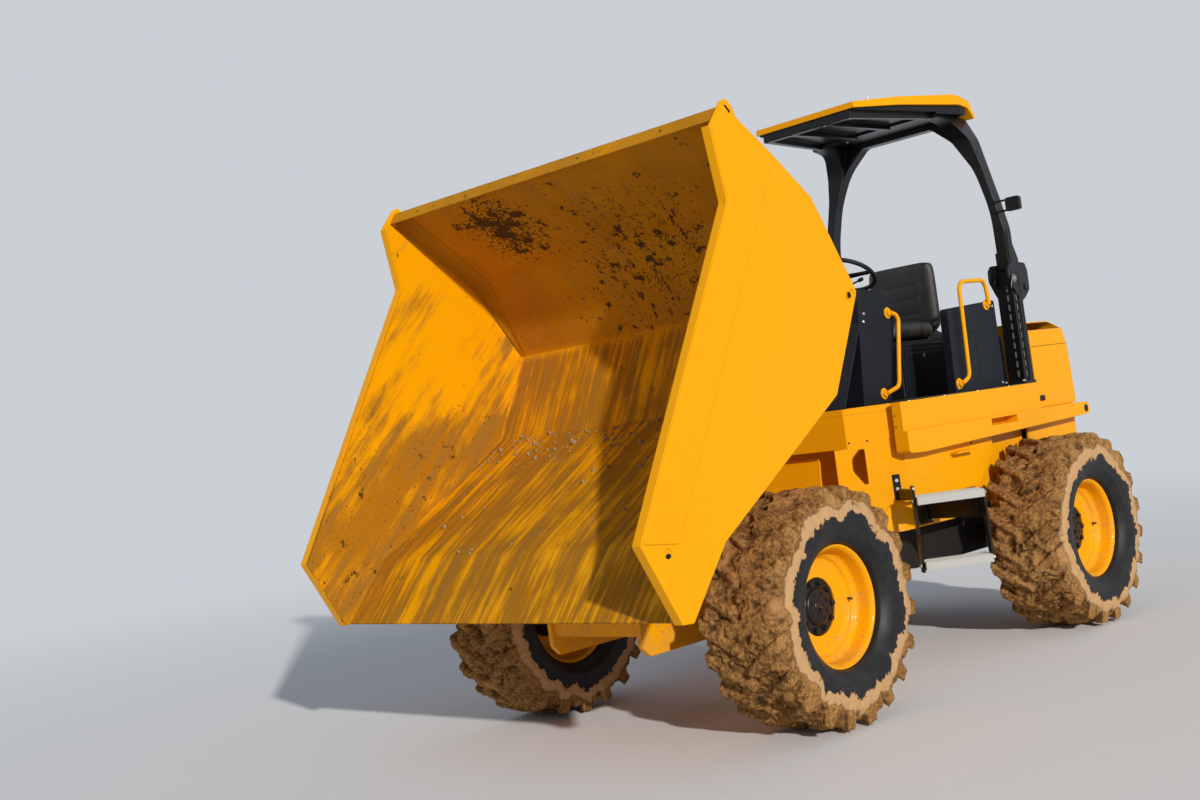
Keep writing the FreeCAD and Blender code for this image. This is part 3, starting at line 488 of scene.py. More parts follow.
    @functools.cache
    def tyre(self) -> Material:
        """Black rubber under caked mud, shared out by the mesh's own mud, thick and pit attributes; pit paints shade
        into the mud's hollows.
        """
        shader = Shader("tyre_rubber_and_mud")
        reach, thick, pit = (shader.node("ShaderNodeAttribute", attribute_name=name).outputs["Fac"]
                             for name in ("mud", "thick", "pit"))
        ragged = shader.plus(shader.times(shader.noise(14.0, 6.0, 0.70), 0.7),
                             shader.times(shader.noise(4.0, 3.0), 0.3))
        coarse = shader.noise(55.0, 6.0, 0.72)
        crumbs = shader.noise(160.0, 4.0, 0.7)
        mud = shader.ramp(shader.plus(reach, shader.swing(ragged, 4.2)), 0.44, 0.56)
        body = shader.ramp(shader.plus(thick, shader.swing(coarse, 1.1)), 0.30, 0.60)
        soil = shader.mix(shader.ramp(coarse, 0.36, 0.64), TREAD_DEEP, TREAD_PALE)
        soil = shader.mix(shader.ramp(shader.noise(3.4, 4.0), 0.50, 0.70), soil, TREAD_PATCH)
        soil = shader.mix(body, shader.mix(crumbs, FILM_DEEP, MUD_TAN), soil)
        # Painted shade: the mud's low spots, in cracks and between lugs, darken towards dark mud.
        soil = shader.mix(shader.times(pit, 0.9), soil, DARK_MUD_AND_PIT_SHADE)
        black = shader.mix(shader.times(shader.ramp(ragged, 0.40, 0.75), 0.13), RUBBER.color, RUBBER_SMEAR)
        lumps = shader.times(shader.plus(coarse, shader.times(crumbs, 0.45)), shader.blend(body, 0.30, 1.0))
        shader.out(
            Base_Color=shader.mix(mud, black, soil), Roughness=shader.blend(mud, 0.46, 0.95),
            Specular_IOR_Level=shader.blend(mud, 0.22, 0.06),
            Normal=shader.relief(shader.times(mud, shader.plus(lumps, 0.35)), 0.9, 0.016))
        return shader.material

    @functools.cache
    def vinyl(self) -> Material:
        """Black seat vinyl with a leathery grain."""
        shader = Shader(VINYL.name)
        cells = shader.node("ShaderNodeTexVoronoi", {"Vector": shader.place(), "Scale": 420.0},
                            feature="DISTANCE_TO_EDGE").outputs["Distance"]
        cloud = shader.noise(7.0, 5.0)
        shader.out(
            Base_Color=shader.mix(shader.times(shader.ramp(cloud, 0.5, 0.75), 0.04), VINYL.color, DUST),
            Roughness=shader.blend(cloud, 0.33, 0.50),
            Normal=shader.relief(shader.ramp(cells, 0.0, 0.12), VINYL.bump, 0.0006))
        return shader.material

    @functools.cache
    def soil(self) -> Material:
        """Clods that stick to the machine."""
        shader = Shader("caked_soil")
        coarse = shader.noise(70.0, 6.0, 0.7)
        shader.out(Base_Color=shader.mix(coarse, CLOD_DEEP, CLOD_PALE), Roughness=0.95,
                   Normal=shader.relief(coarse, 0.8, 0.008))
        return shader.material


FINISHES = Finishes()


def at(x: float, y: float, z: float) -> Place:
    """A place counted in millimetres from the articulation pin, in the frame's metres."""
    return (x / 1000.0, y / 1000.0 + PIN_Y, z / 1000.0 + WHEEL_PLANE_Z)


def face_outwards(mesh: bpy.types.Mesh) -> None:
    """Turns a mesh's faces outwards and shades them smooth."""
    work = bmesh.new()
    work.from_mesh(mesh)
    bmesh.ops.recalc_face_normals(work, faces=work.faces)
    work.to_mesh(mesh)
    work.free()
    mesh.polygons.foreach_set("use_smooth", np.full(len(mesh.polygons), True))


def mesh_object(name: str, verts: np.ndarray, faces: list, material: Material,
                smooth: bool = True, tidy: bool = True) -> bpy.types.Object:
    """Makes a mesh object whose vertices are in the frame's own metres.

    Args:
        name: The object's name.
        verts: Array of n by 3 places.
        faces: Tuples of vertex numbers.
        material: Its material.
        smooth: Whether its faces shade smooth.
        tidy: Whether its faces are turned to point outwards.

    Returns:
        The new object, at the origin.
    """
    mesh = bpy.data.meshes.new(name)
    mesh.from_pydata(np.asarray(verts, float).reshape(-1, 3).tolist(), [], faces)
    mesh.validate()
    if tidy:
        face_outwards(mesh)
    mesh.materials.append(material)
    mesh.polygons.foreach_set("use_smooth", np.full(len(mesh.polygons), smooth))
    mesh.update()
    made = bpy.data.objects.new(name, mesh)
    bpy.context.scene.collection.objects.link(made)
    return made


def settle(made: bpy.types.Object, body: str, node: str | None = None) -> None:
    """Hides the CAD node that a piece replaces, if it replaces one, and lets the piece ride on its body.

    Args:
        made: The piece.
        body: The body that it rides on.
        node: The CAD node that it replaces, if it replaces one.
    """
    if node:
        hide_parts(node)
    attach(made, body)


def grid_faces(rows: int, columns: int, wrap_rows: bool = False, wrap_columns: bool = False) -> list:
    """Quads over a grid: each joins a point, its right, its lower right and its lower.

    Args:
        rows: Rows of points.
        columns: Points in a row.
        wrap_rows: Whether the last row joins the first.
        wrap_columns: Whether a row's last point joins its first.

    Returns:
        Lists of four point numbers.
    """
    row = np.arange(rows if wrap_rows else rows - 1)[:, None]
    column = np.arange(columns if wrap_columns else columns - 1)[None, :]
    below, right = (row + 1) % rows, (column + 1) % columns
    upper, lower = row * columns, below * columns
    corners = (upper + column, upper + right, lower + right, lower + column)
    return np.stack(corners, axis=-1).reshape(-1, 4).tolist()


def bend(start: np.ndarray, corner: np.ndarray, end: np.ndarray, steps: int) -> np.ndarray:
    """Points of the quadratic arc that leaves a start towards a corner and comes from it to an end."""
    share = np.linspace(0.0, 1.0, steps)[:, None]
    return (1 - share) ** 2 * start + 2 * share * (1 - share) * corner + share ** 2 * end


def softened(corners: list, steps: int = 4) -> np.ndarray:
    """A closed outline whose corners are quadratic arcs between points that far along each side.

    Args:
        corners: The corners (u, v, radius) in order.
        steps: Points on each arc.

    Returns:
        Array of n by 2 points.
    """
    points = []
    for index, (u, v, radius) in enumerate(corners):
        here = np.array((u, v))
        before = np.array(corners[index - 1][:2]) - here
        after = np.array(corners[(index + 1) % len(corners)][:2]) - here
        if radius <= 0.0:
            points.append(here[None, :])
            continue
        reach = min(radius, 0.49 * np.linalg.norm(before), 0.49 * np.linalg.norm(after))
        start = here + before / np.linalg.norm(before) * reach
        end = here + after / np.linalg.norm(after) * reach
        points.append(bend(start, here, end, steps))
    return np.concatenate(points)


def curve(points: list, steps: int = 24) -> list:
    """A smooth line near a row of points: quadratic arcs between the middles of its runs.

    Args:
        points: The row of points.
        steps: Points on each arc.

    Returns:
        The line's points.
    """
    rows = np.array(points, float)
    joints = (rows[1:] + rows[:-1]) / 2.0
    joints[0], joints[-1] = rows[0], rows[-1]
    arcs = [bend(joints[index], rows[index + 1], joints[index + 1], steps) for index in range(len(rows) - 2)]
    return np.concatenate([arcs[0]] + [arc[1:] for arc in arcs[1:]]).tolist()


def slot_outline(u: float, v: float, half_long: float, half_wide: float, lean: float = 90.0) -> list:
    """Corners of a slot with round ends.

    Args:
        u: Middle of the slot.
        v: Middle of the slot.
        half_long: Half its length.
        half_wide: Half its width.
        lean: Angle of its length from u, in degrees.

    Returns:
        Corners (u, v, radius).
    """
    cosine, sine = math.cos(math.radians(lean)), math.sin(math.radians(lean))
    corners = ((-half_long, -half_wide), (half_long, -half_wide),
               (half_long, half_wide), (-half_long, half_wide))
    return [(u + a * cosine - b * sine, v + a * sine + b * cosine, half_wide) for a, b in corners]


def plate_outline(u0: float, v0: float, u1: float, v1: float, radius: float) -> list:
    """Corners of a rectangle with round corners."""
    return [(u0, v0, radius), (u1, v0, radius), (u1, v1, radius), (u0, v1, radius)]


def side_outline(points: list, radius: float) -> list:
    """Corners of an outline given along and up in millimetres from the pin."""
    return [(*at(0, y, z)[1:], radius) for y, z in points]


def circle(centre: Place, radius: float, steps: int = 32) -> list:
    """Points of a ring square to the machine's width."""
    turn = np.linspace(0.0, FULL_TURN, steps, endpoint=False)
    return np.stack([np.full(steps, centre[0]), centre[1] + radius * np.cos(turn),
                     centre[2] + radius * np.sin(turn)], axis=-1).tolist()


def both(place: Place) -> tuple[tuple[Place, float], tuple[Place, float]]:
    """A place and its mirror image, each with the sign of its side."""
    return ((place, 1.0), ((-place[0], place[1], place[2]), -1.0))


def disc(radius: float, proud: float = HOLE_PROUD) -> list:
    """Profile of the dark disc of painted shade that stands for a drilled hole."""
    return [(HOLE_SUNK, radius), (proud, radius)]


def rising(values: np.ndarray, start: float, over: float) -> np.ndarray:
    """0 up to a start, then rising to 1 over a distance; below the start where the distance is negative."""
    return np.clip((values - start) / over, 0.0, 1.0)


# Whole numbers that scatter the noise's lattice corners.
SCATTER = np.array((73856093, 19349663, 83492791))
SCATTER_SEED, SCATTER_START, SCATTER_MIX = 40503, 977, 1274126177


def lattice_noise(points: np.ndarray, seed: int) -> np.ndarray:
    """Smooth noise from -1 to 1: scattered values at whole-number corners, blended by smooth steps.

    Args:
        points: Places, three numbers each.
        seed: Which noise.

    Returns:
        A value for each place.
    """
    cell = np.floor(points).astype(np.int64)
    ease = points - cell
    ease = ease * ease * (3.0 - 2.0 * ease)
    total = np.zeros(points.shape[:-1])
    for corner in np.array(list(itertools.product((0, 1), repeat=3))):
        spot = (cell + corner) * SCATTER
        code = spot[..., 0] ^ spot[..., 1] ^ spot[..., 2] ^ (seed * SCATTER_SEED + SCATTER_START)
        code = (code ^ (code >> 13)) * SCATTER_MIX
        code = (code ^ (code >> 16)) & 0xFFFF
        total += np.prod(np.where(corner == 1, ease, 1.0 - ease), axis=-1) * (code / 32767.5 - 1.0)
    return total


def layered_noise(points: np.ndarray, scale: float, layers: int, seed: int, fade: float = 0.55) -> np.ndarray:
    """Sum of lattice noises, each finer by 2.1 times and weaker by a fade than the one before.

    Args:
        points: Places, three numbers each.
        scale: Lumps in a metre of the broadest noise.
        layers: How many noises.
        seed: Which noise.
        fade: Strength of each against the one before.

    Returns:
        A value for each place.
    """
    return sum(fade ** layer * lattice_noise(points * scale * 2.1 ** layer + 17.3 * layer, seed + layer)
               for layer in range(layers))


@dataclass
class Bundle:
    """Small parts of one body and finish, gathered into one mesh.

    Attributes:
        name: Name of the object that they become.
        body: The body that it rides on.
        finish: Its finish.
    """

    name: str
    body: str
    finish: Finish
    verts: list = field(default_factory=list)
    faces: list = field(default_factory=list)
    count: int = 0

    def add(self, verts: np.ndarray, faces: list) -> None:
        """Adds a mesh."""
        self.verts.append(np.asarray(verts, float).reshape(-1, 3))
        self.faces += [tuple(number + self.count for number in face) for face in faces]
        self.count += len(self.verts[-1])

    def stacked(self, rings: np.ndarray) -> None:
        """Adds a closed skin over rings of points, one ring above the other, capped at both ends."""
        levels, around = rings.shape[:2]
        caps = [list(range(around))[::-1], list(range((levels - 1) * around, levels * around))]
        self.add(rings, grid_faces(levels, around, wrap_columns=True) + caps)

    def prism(self, corners: list, low: float, high: float, bevel: float = 0.0,
              mirror: bool = False, plane: Plane = Plane.SIDE) -> None:
        """Adds a plate: an outline between two planes, its rims drawn in by a bevel.

        Args:
            corners: Corners (u, v, radius) in metres.
            low: Where the plate starts along its thickness.
            high: Where it ends.
            bevel: Width of the bevel.
            mirror: Whether the same plate stands on the other side of the machine too.
            plane: The plane that the outline is drawn on.
        """
        outline = softened(corners, 5)
        before, after = np.roll(outline, 1, axis=0), np.roll(outline, -1, axis=0)
        around = after - before
        normal = np.stack([around[:, 1], -around[:, 0]], axis=-1)
        normal /= np.linalg.norm(normal, axis=1, keepdims=True) + 1e-12
        turning = np.sum(outline[:, 0] * after[:, 1] - after[:, 0] * outline[:, 1])
        inner = outline - normal * bevel * (1.0 if turning > 0 else -1.0)
        rings = np.zeros((4, len(outline), 3))
        first, second, third = plane.value
        levels = ((inner, low), (outline, low + bevel), (outline, high - bevel), (inner, high))
        for ring, (flat, level) in zip(rings, levels):
            ring[:, first], ring[:, second], ring[:, third] = flat[:, 0], flat[:, 1], level
        self.stacked(rings)
        if mirror:
            self.stacked(rings * np.array((-1.0, 1.0, 1.0)))

    def panel(self, start: tuple[float, float], end: tuple[float, float], radius: float, low: float,
              high: float, bevel: float = 0.0, mirror: bool = False, inset: float = 0.0) -> None:
        """Adds a rectangular plate that is square to the machine's width.

        Args:
            start: Its lowest place along and up, in millimetres from the pin.
            end: Its highest.
            radius: Radius of its corners in metres.
            low: Where it starts along the width, in metres.
            high: Where it ends.
            bevel: Width of the bevel.
            mirror: Whether the same plate stands on the other side too.
            inset: How much smaller it is at each edge, in metres.
        """
        (_, y0, z0), (_, y1, z1) = at(0, *start), at(0, *end)
        outline = plate_outline(y0 + inset, z0 + inset, y1 - inset, z1 - inset, radius)
        self.prism(outline, low, high, bevel, mirror)

    def turned(self, base: Place, facing: Place, profile: list, sides: int = 24, spin: float = 0.0) -> None:
        """Adds a solid turned round a line: rings of the profile's radii at its heights along the line.

        Args:
            base: Where the line starts.
            facing: Its direction.
            profile: Rows of height and radius.
            sides: Steps round the turn; 6 makes a hexagon.
            spin: Turn about the line in radians.
        """
        turn = np.linspace(0.0, FULL_TURN, sides, endpoint=False) + spin
        height, radius = np.array(profile).T
        rings = np.stack([np.outer(radius, np.cos(turn)), np.outer(radius, np.sin(turn)),
                          np.broadcast_to(height[:, None], (len(height), sides))], axis=-1)
        matrix = np.array(Vector(facing).to_track_quat("Z", "Y").to_matrix())
        self.stacked(rings @ matrix.T + np.array(base))

    def bolt(self, base: Place, facing: Place, across: float, height: float) -> None:
        """Adds a hexagon bolt head on a washer, across its flats and that high."""
        washer, point = across * 0.68, across * 0.577
        self.turned(base, facing, [(-0.0006, washer), (0.0014, washer), (0.0018, washer * 0.95)], 20)
        self.turned(base, facing, [(0.0016, point), (height * 0.85, point), (height, across * 0.50)],
                    6, spin=base[0] * 9.0 + base[2] * 7.0)

    def pairs(self, places: tuple, facing: Place, profile: list, sides: int = 24) -> None:
        """Adds the same turned solid at each place and at its mirror image.

        Args:
            places: Places in millimetres from the pin.
            facing: Direction of the solid on the left side.
            profile: Rows of height and radius.
            sides: Steps round the turn.
        """
        for place in places:
            for spot, hand in both(at(*place)):
                self.turned(spot, (facing[0] * hand, *facing[1:]), profile, sides)

    def bolt_pairs(self, places: tuple, facing: Place, across: float, height: float) -> None:
        """Adds a bolt head at each place and at its mirror image.

        Args:
            places: Places in millimetres from the pin.
            facing: Direction of the bolt on the left side.
            across: Size of the head across its flats.
            height: Height of the head.
        """
        for place in places:
            for spot, hand in both(at(*place)):
                self.bolt(spot, (facing[0] * hand, *facing[1:]), across, height)

    def tube(self, path: list, radius: float, sides: int = 12, closed: bool = False) -> None:
        """Adds a round bar along a path: a circle carried square to the path's own direction.

        Args:
            path: Points in metres.
            radius: The bar's radius.
            sides: Steps round the bar.
            closed: Whether the path joins its own start.
        """
        points = np.array(path, float)
        ahead = np.roll(points, -1, axis=0) - np.roll(points, 1, axis=0)
        if not closed:
            ahead[0], ahead[-1] = points[1] - points[0], points[-1] - points[-2]
        ahead /= np.linalg.norm(ahead, axis=1, keepdims=True)
        guide = np.eye(3)[int(np.argmin(np.abs(ahead).mean(axis=0)))]
        side = np.cross(ahead, guide)
        side /= np.linalg.norm(side, axis=1, keepdims=True)
        other = np.cross(ahead, side)
        turn = np.linspace(0.0, FULL_TURN, sides, endpoint=False)[None, :, None]
        rings = points[:, None] + radius * (np.cos(turn) * side[:, None] + np.sin(turn) * other[:, None])
        if closed:
            self.add(rings, grid_faces(len(points), sides, wrap_rows=True, wrap_columns=True))
        else:
            self.stacked(rings)

    def build(self, smooth: bool = False, material: Material | None = None,
              node: str | None = None) -> None:
        """Makes the object, dresses it and lets it ride.

        Args:
            smooth: Whether its faces shade smooth.
            material: Its material, if not the finish's own.
            node: The CAD node that it replaces, if it replaces one.
        """
        made = mesh_object(self.name, np.concatenate(self.verts), self.faces,
                           material or FINISHES.dress(self.finish), smooth)
        settle(made, self.body, node)


# Half of the bare tyre's section: distance from the wheel's middle plane and radius.
TYRE_HALF = np.array([
    (0.0, 0.540), (0.10, 0.5395), (0.15, 0.536), (0.185, 0.529), (0.208, 0.517), (0.222, 0.503),
    (0.232, 0.487),
    (0.2385, 0.470), (0.242, 0.452), (0.2435, 0.430), (0.2430, 0.405), (0.240, 0.385), (0.2355, 0.367),
    (0.2385, 0.361), (0.2345, 0.354), (0.226, 0.338), (0.214, 0.322), (0.2035, 0.3115), (0.202, 0.3065),
    (0.196, 0.3025), (0.180, 0.3)])

# Corners of the rim's and the hub's sections: place outwards, radius and radius of the corner.
RIM_CORNERS = [
    (-0.174, 0.2975, 0.004), (-0.158, 0.2975, 0.004), (-0.152, 0.285, 0.006), (-0.09, 0.279, 0.02),
    (-0.07, 0.251, 0.02), (0.06, 0.251, 0.02), (0.085, 0.279, 0.02), (0.152, 0.285, 0.006),
    (0.158, 0.2975, 0.004), (0.174, 0.2975, 0.004), (0.1745, 0.288, 0.005), (0.162, 0.276, 0.008),
    (0.150, 0.2715, 0.006), (0.092, 0.2665, 0.014), (0.074, 0.241, 0.014), (0.060, 0.2355, 0.010),
    (0.050, 0.212, 0.018), (0.048, 0.160, 0.01), (0.049, 0.1405, 0.003), (0.036, 0.1405, 0.003),
    (0.035, 0.205, 0.01), (0.042, 0.240, 0.006), (-0.062, 0.241, 0.012), (-0.084, 0.269, 0.014),
    (-0.162, 0.276, 0.008), (-0.1745, 0.289, 0.005)]
HUB_CORNERS = [
    (-0.059, 0.005, 0.0), (-0.059, 0.118, 0.006), (0.004, 0.148, 0.006), (0.0355, 0.149, 0.004),
    (0.0358, 0.138, 0.003), (0.042, 0.137, 0.003), (0.043, 0.094, 0.004), (0.056, 0.088, 0.006),
    (0.060, 0.076, 0.004), (0.0605, 0.040, 0.003), (0.066, 0.036, 0.004), (0.0665, 0.005, 0.0)]

# The wheel's nuts, the hub cover's bolts and its plug: how many, radius of their ring, how far out they
# stand, size across the flats and height. The valve's profile follows.
NUT_RINGS = ((10, 0.1165, 0.0425, 0.026, 0.016), (8, 0.066, 0.0598, 0.013, 0.007),
             (1, 0.018, 0.0662, 0.022, 0.008))
VALVE = [(0.0, 0.006), (0.030, 0.005), (0.032, 0.0062), (0.042, 0.0055)]


@dataclass
class Wheel:
    """Tyre, rim and hub of one corner.

    Attributes:
        corner: Name shared by its nodes, such as front_left.
        seed: Which mud it wears.
        around: Steps round the tyre.
        across: Steps over the tyre's section.
        lugs: Lugs on each half of the tread.
        lug_tip: Radius of the lugs' tops.
        mud_limit: Radius past which no mud stands.
        pattern: Radius at which the tread's pattern is measured.
        mud_edge: Radius where the mud ends on the sidewall.
    """

    corner: str
    seed: int = 0
    around: int = 540
    across: int = 112
    lugs: int = 20
    lug_tip: float = 0.579
    mud_limit: float = 0.5843
    pattern: float = 0.57
    mud_edge: float = 0.428

    def build(self) -> None:
        """Makes the tyre, the rim, the hub and its nuts."""
        low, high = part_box("tyre_" + self.corner)
        self.centre = (low + high) / 2.0
        self.hand = float(Side.named(self.corner).value)
        self.body = "wheel_" + self.corner
        self.build_tyre()
        self.lathe("rim", softened(RIM_CORNERS, 5), 160, PAINT)
        self.lathe("hub", softened(HUB_CORNERS, 4), 96, HUB_BLACK)
        self.build_nuts()

    def swept(self, along: np.ndarray, radius: np.ndarray, turn: np.ndarray) -> np.ndarray:
        """Places on the wheel: each point sweeps a circle of its radius round the axle.

        Args:
            along: Distance outwards from the wheel's middle plane.
            radius: Distance from the axle.
            turn: Angle round the axle.

        Returns:
            Array of n by 3 places.
        """
        return np.stack([along + self.centre.x, radius * np.sin(turn) + self.centre.y,
                         radius * np.cos(turn) + self.centre.z], axis=-1).reshape(-1, 3)

    def lathe(self, kind: str, profile: np.ndarray, segments: int, finish: Finish) -> None:
        """Makes a piece turned round the axle from a closed profile.

        Args:
            kind: First word of the CAD node's name.
            profile: Rows of place outwards and radius.
            segments: Steps round the turn.
            finish: Its finish.
        """
        turn = np.linspace(0.0, FULL_TURN, segments, endpoint=False)[:, None]
        along = np.broadcast_to(profile[:, 0] * self.hand, (segments, len(profile)))
        verts = self.swept(along, profile[:, 1], turn)
        faces = grid_faces(segments, len(profile), wrap_rows=True, wrap_columns=True)
        made = mesh_object(f"{kind}_look_{self.corner}", verts, faces, FINISHES.dress(finish))
        settle(made, self.body, f"{kind}_{self.corner}")

    def section(self) -> np.ndarray:
        """Cross-section of the bare tyre from its inner bead to its outer bead, evenly spaced."""
        full = np.concatenate([TYRE_HALF[:0:-1] * np.array((-1.0, 1.0)), TYRE_HALF])
        run = np.concatenate([[0.0], np.cumsum(np.linalg.norm(np.diff(full, axis=0), axis=1))])
        even = np.linspace(0.0, run[-1], self.across)
        return np.stack([np.interp(even, run, full[:, 0]), np.interp(even, run, full[:, 1])], axis=-1)

    def lug_share(self, along: np.ndarray, turn: np.ndarray) -> np.ndarray:
        """How much of a lug's height stands at each point: 1 on a slanted bar, 0 between the bars.

        Args:
            along: Distance outwards from the wheel's middle plane.
            turn: Angle round the axle.

        Returns:
            A share for each point.
        """
        pitch = FULL_TURN / self.lugs
        share = np.zeros_like(along)
        for hand, shift in ((1.0, 0.0), (-1.0, 0.5)):
            out = along * hand
            middle = (-0.036 + (out - 0.012) * 0.67) / self.pattern + shift * pitch
            away = (turn - middle + pitch / 2.0) % pitch - pitch / 2.0
            half_width = (0.024 + 0.012 * rising(out, 0.05, 0.18)) / self.pattern
            wall = rising(np.abs(away), half_width + 0.014, -0.020)
            share = np.maximum(share, wall * wall * (3 - 2 * wall) * rising(out, -0.004, 0.016))
        return share

    def build_tyre(self) -> None:
        """Sweeps the section round, raises the lugs and cakes the tread with mud that fills between them."""
        shape = (self.around, self.across)
        along, bare = (np.broadcast_to(column, shape) for column in self.section().T)
        turn = np.linspace(0.0, FULL_TURN, self.around, endpoint=False)
        angle = np.broadcast_to(turn[:, None], shape)
        spot = np.stack([along + self.seed * 3.7, self.pattern * np.sin(angle), self.pattern * np.cos(angle)],
                        axis=-1)
        broad = layered_noise(spot, 7.0, 3, 11 + self.seed)
        lumps = layered_noise(spot, 21.0, 3, 31 + self.seed, 0.6)
        cracks = 1.0 - np.abs(layered_noise(spot, 34.0, 2, 51 + self.seed)) * 2.2
        crumbs = layered_noise(spot, 82.0, 2, 71 + self.seed)
        out = np.abs(along)
        tread = rising(out, 0.2415, -0.010) * rising(bare, 0.478, 0.02)
        shoulder = 1.0 - 0.40 * rising(out, 0.165, 0.06)
        fill = np.clip(0.33 + 0.42 * broad + 0.16 * lumps, 0.05, 0.88) * shoulder
        share = np.maximum(self.lug_share(along, angle) * (0.93 + 0.07 * broad), fill)
        rough = 0.0050 * lumps - 0.0085 * rising(cracks, 0.35, 1.0) + 0.0032 * crumbs
        radius = np.minimum(bare + tread * ((self.lug_tip - bare) * share + rough), self.mud_limit)
        flank = rising(bare, 0.435, 0.03) * rising(bare, 0.51, -0.03)
        width = along + np.sign(along) * flank * (0.0035 + 0.0045 * lumps + 0.0020 * crumbs)
        mud = {
            "mud": 0.5 + (radius - self.mud_edge + 0.024 * broad) / 0.050,
            "thick": rising(radius + 0.036 * broad, 0.478, 0.040),
            # Painted shade: high where the mud sits low, in cracks and between the lugs.
            "pit": np.clip(-(rough / 0.008) - 0.15 + 0.6 * (0.55 - share), 0.0, 1.0) * tread}
        start = np.arange(self.around) * self.across
        following = np.roll(start, -1)
        closing = np.stack([start, following, following + self.across - 1, start + self.across - 1], axis=-1)
        faces = grid_faces(self.around, self.across, wrap_rows=True) + closing.tolist()
        made = mesh_object("tyre_look_" + self.corner, self.swept(width * self.hand, radius, angle), faces,
                           FINISHES.tyre())
        for name, values in mud.items():
            layer = made.data.attributes.new(name, "FLOAT", "POINT")
            layer.data.foreach_set("value", np.clip(values, -4.0, 4.0).astype(np.float32).ravel())
        settle(made, self.body, "tyre_" + self.corner)

    def build_nuts(self) -> None:
        """The wheel's nuts, the hub cover's bolts and plug, and the tyre's valve."""
        nuts = Bundle("wheel_nuts_" + self.corner, self.body, HUB_BLACK)
        x, y, z = self.centre
        for count, radius, stand, across, height in NUT_RINGS:
            for angle in FULL_TURN * (np.arange(count) + 0.5) / count:
                spot = (x + stand * self.hand, y + radius * math.sin(angle), z + radius * math.cos(angle))
                nuts.bolt(spot, (self.hand, 0.0, 0.0), across, height)
        nuts.turned((x + 0.055 * self.hand, y + 0.2365, z), (self.hand, -0.45, 0.0), VALVE, 16)
        nuts.build()


@dataclass
class Cushion:
    """One padded piece of the seat, a crowned form with sewn channels.

    Attributes:
        node: The CAD node that it stands for.
        thin: Which axis of the box is the pad's thickness, 1 for y or 2 for z.
        channels: Places of the long sewn channels, from -1 to 1 across the pad.
        seams: Places of the short ones, from -1 to 1 along it.
        sewn: Half width of a channel on the same scale.
        levels: Points along each side of the pad.
        weld: Distance in metres within which points of the rim are joined.
    """

    node: str
    thin: int
    channels: tuple[float, ...] = (-0.52, 0.52)
    seams: tuple[float, ...] = (-0.45, -0.05, 0.35)
    sewn: float = 0.03
    levels: int = 46
    weld: float = 0.0004

    def groove(self, across: np.ndarray, along: np.ndarray) -> np.ndarray:
        """How deep the sewing draws the cover in at each point, a bell curve over each channel."""
        deep = sum(np.exp(-((across - channel) / self.sewn) ** 2) for channel in self.channels)
        for seam in self.seams:
            deep = deep + 0.8 * np.exp(-((along - seam) / self.sewn) ** 2) * (np.abs(across) < 0.50)
        return np.clip(deep, 0.0, 1.0)

    def build(self) -> None:
        """Makes the pad in its node's box: thickness falls to the rim as a tenth power and dips at seams."""
        low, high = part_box(self.node)
        half, middle = (high - low) / 2.0, (low + high) / 2.0
        long_axis, direction = (1, 1.0) if self.thin == 2 else (2, -1.0)
        steps = self.levels
        share = np.sin(np.linspace(-math.pi / 2, math.pi / 2, steps)) * 0.5 + np.linspace(-0.5, 0.5, steps)
        across, along = np.meshgrid(share, share, indexing="ij")
        rounding = np.clip(1.0 - np.maximum(np.abs(across), np.abs(along)) ** 10, 0.0, 1.0) ** 0.5
        crown = 0.76 + 0.24 * (1.0 - across ** 2) * (1.0 - 0.6 * along ** 2)
        bolster = 0.16 * np.exp(-((np.abs(across) - 0.78) / 0.16) ** 2)
        face = rounding * np.clip(crown + bolster - 0.13 * self.groove(across, along), 0.0, 1.0)
        pull = 1.0 - 0.05 * (1.0 - np.abs(across) ** 4) * (np.abs(along) > 0.999)
        corner = 1.0 - 0.10 * np.abs(across * along) ** 6
        points = np.zeros((2, steps, steps, 3))
        points[..., 0] = middle.x + across * corner * half.x
        points[..., long_axis] = middle[long_axis] + along * corner * pull * half[long_axis]
        points[0, ..., self.thin] = middle[self.thin] + direction * face * half[self.thin]
        points[1, ..., self.thin] = middle[self.thin] - direction * rounding * 0.92 * half[self.thin]
        top = grid_faces(steps, steps)
        bottom = [tuple(number + steps * steps for number in corners) for corners in top]
        made = mesh_object(self.node + "_padded", points, top + bottom, FINISHES.vinyl(), tidy=False)
        made.modifiers.new("weld", "WELD").merge_threshold = self.weld
        smooth = made.modifiers.new("round", "SUBSURF")
        smooth.levels = smooth.render_levels = 1
        apply_modifiers(made)
        settle(made, "rear_body", self.node)


def apply_modifiers(obj: bpy.types.Object) -> None:
    """Makes an object's modifiers part of its mesh and turns its faces outwards."""
    bpy.context.view_layer.update()
    graph = bpy.context.evaluated_depsgraph_get()
    mesh = bpy.data.meshes.new_from_object(obj.evaluated_get(graph), depsgraph=graph)
    face_outwards(mesh)
    obj.modifiers.clear()
    obj.data = mesh


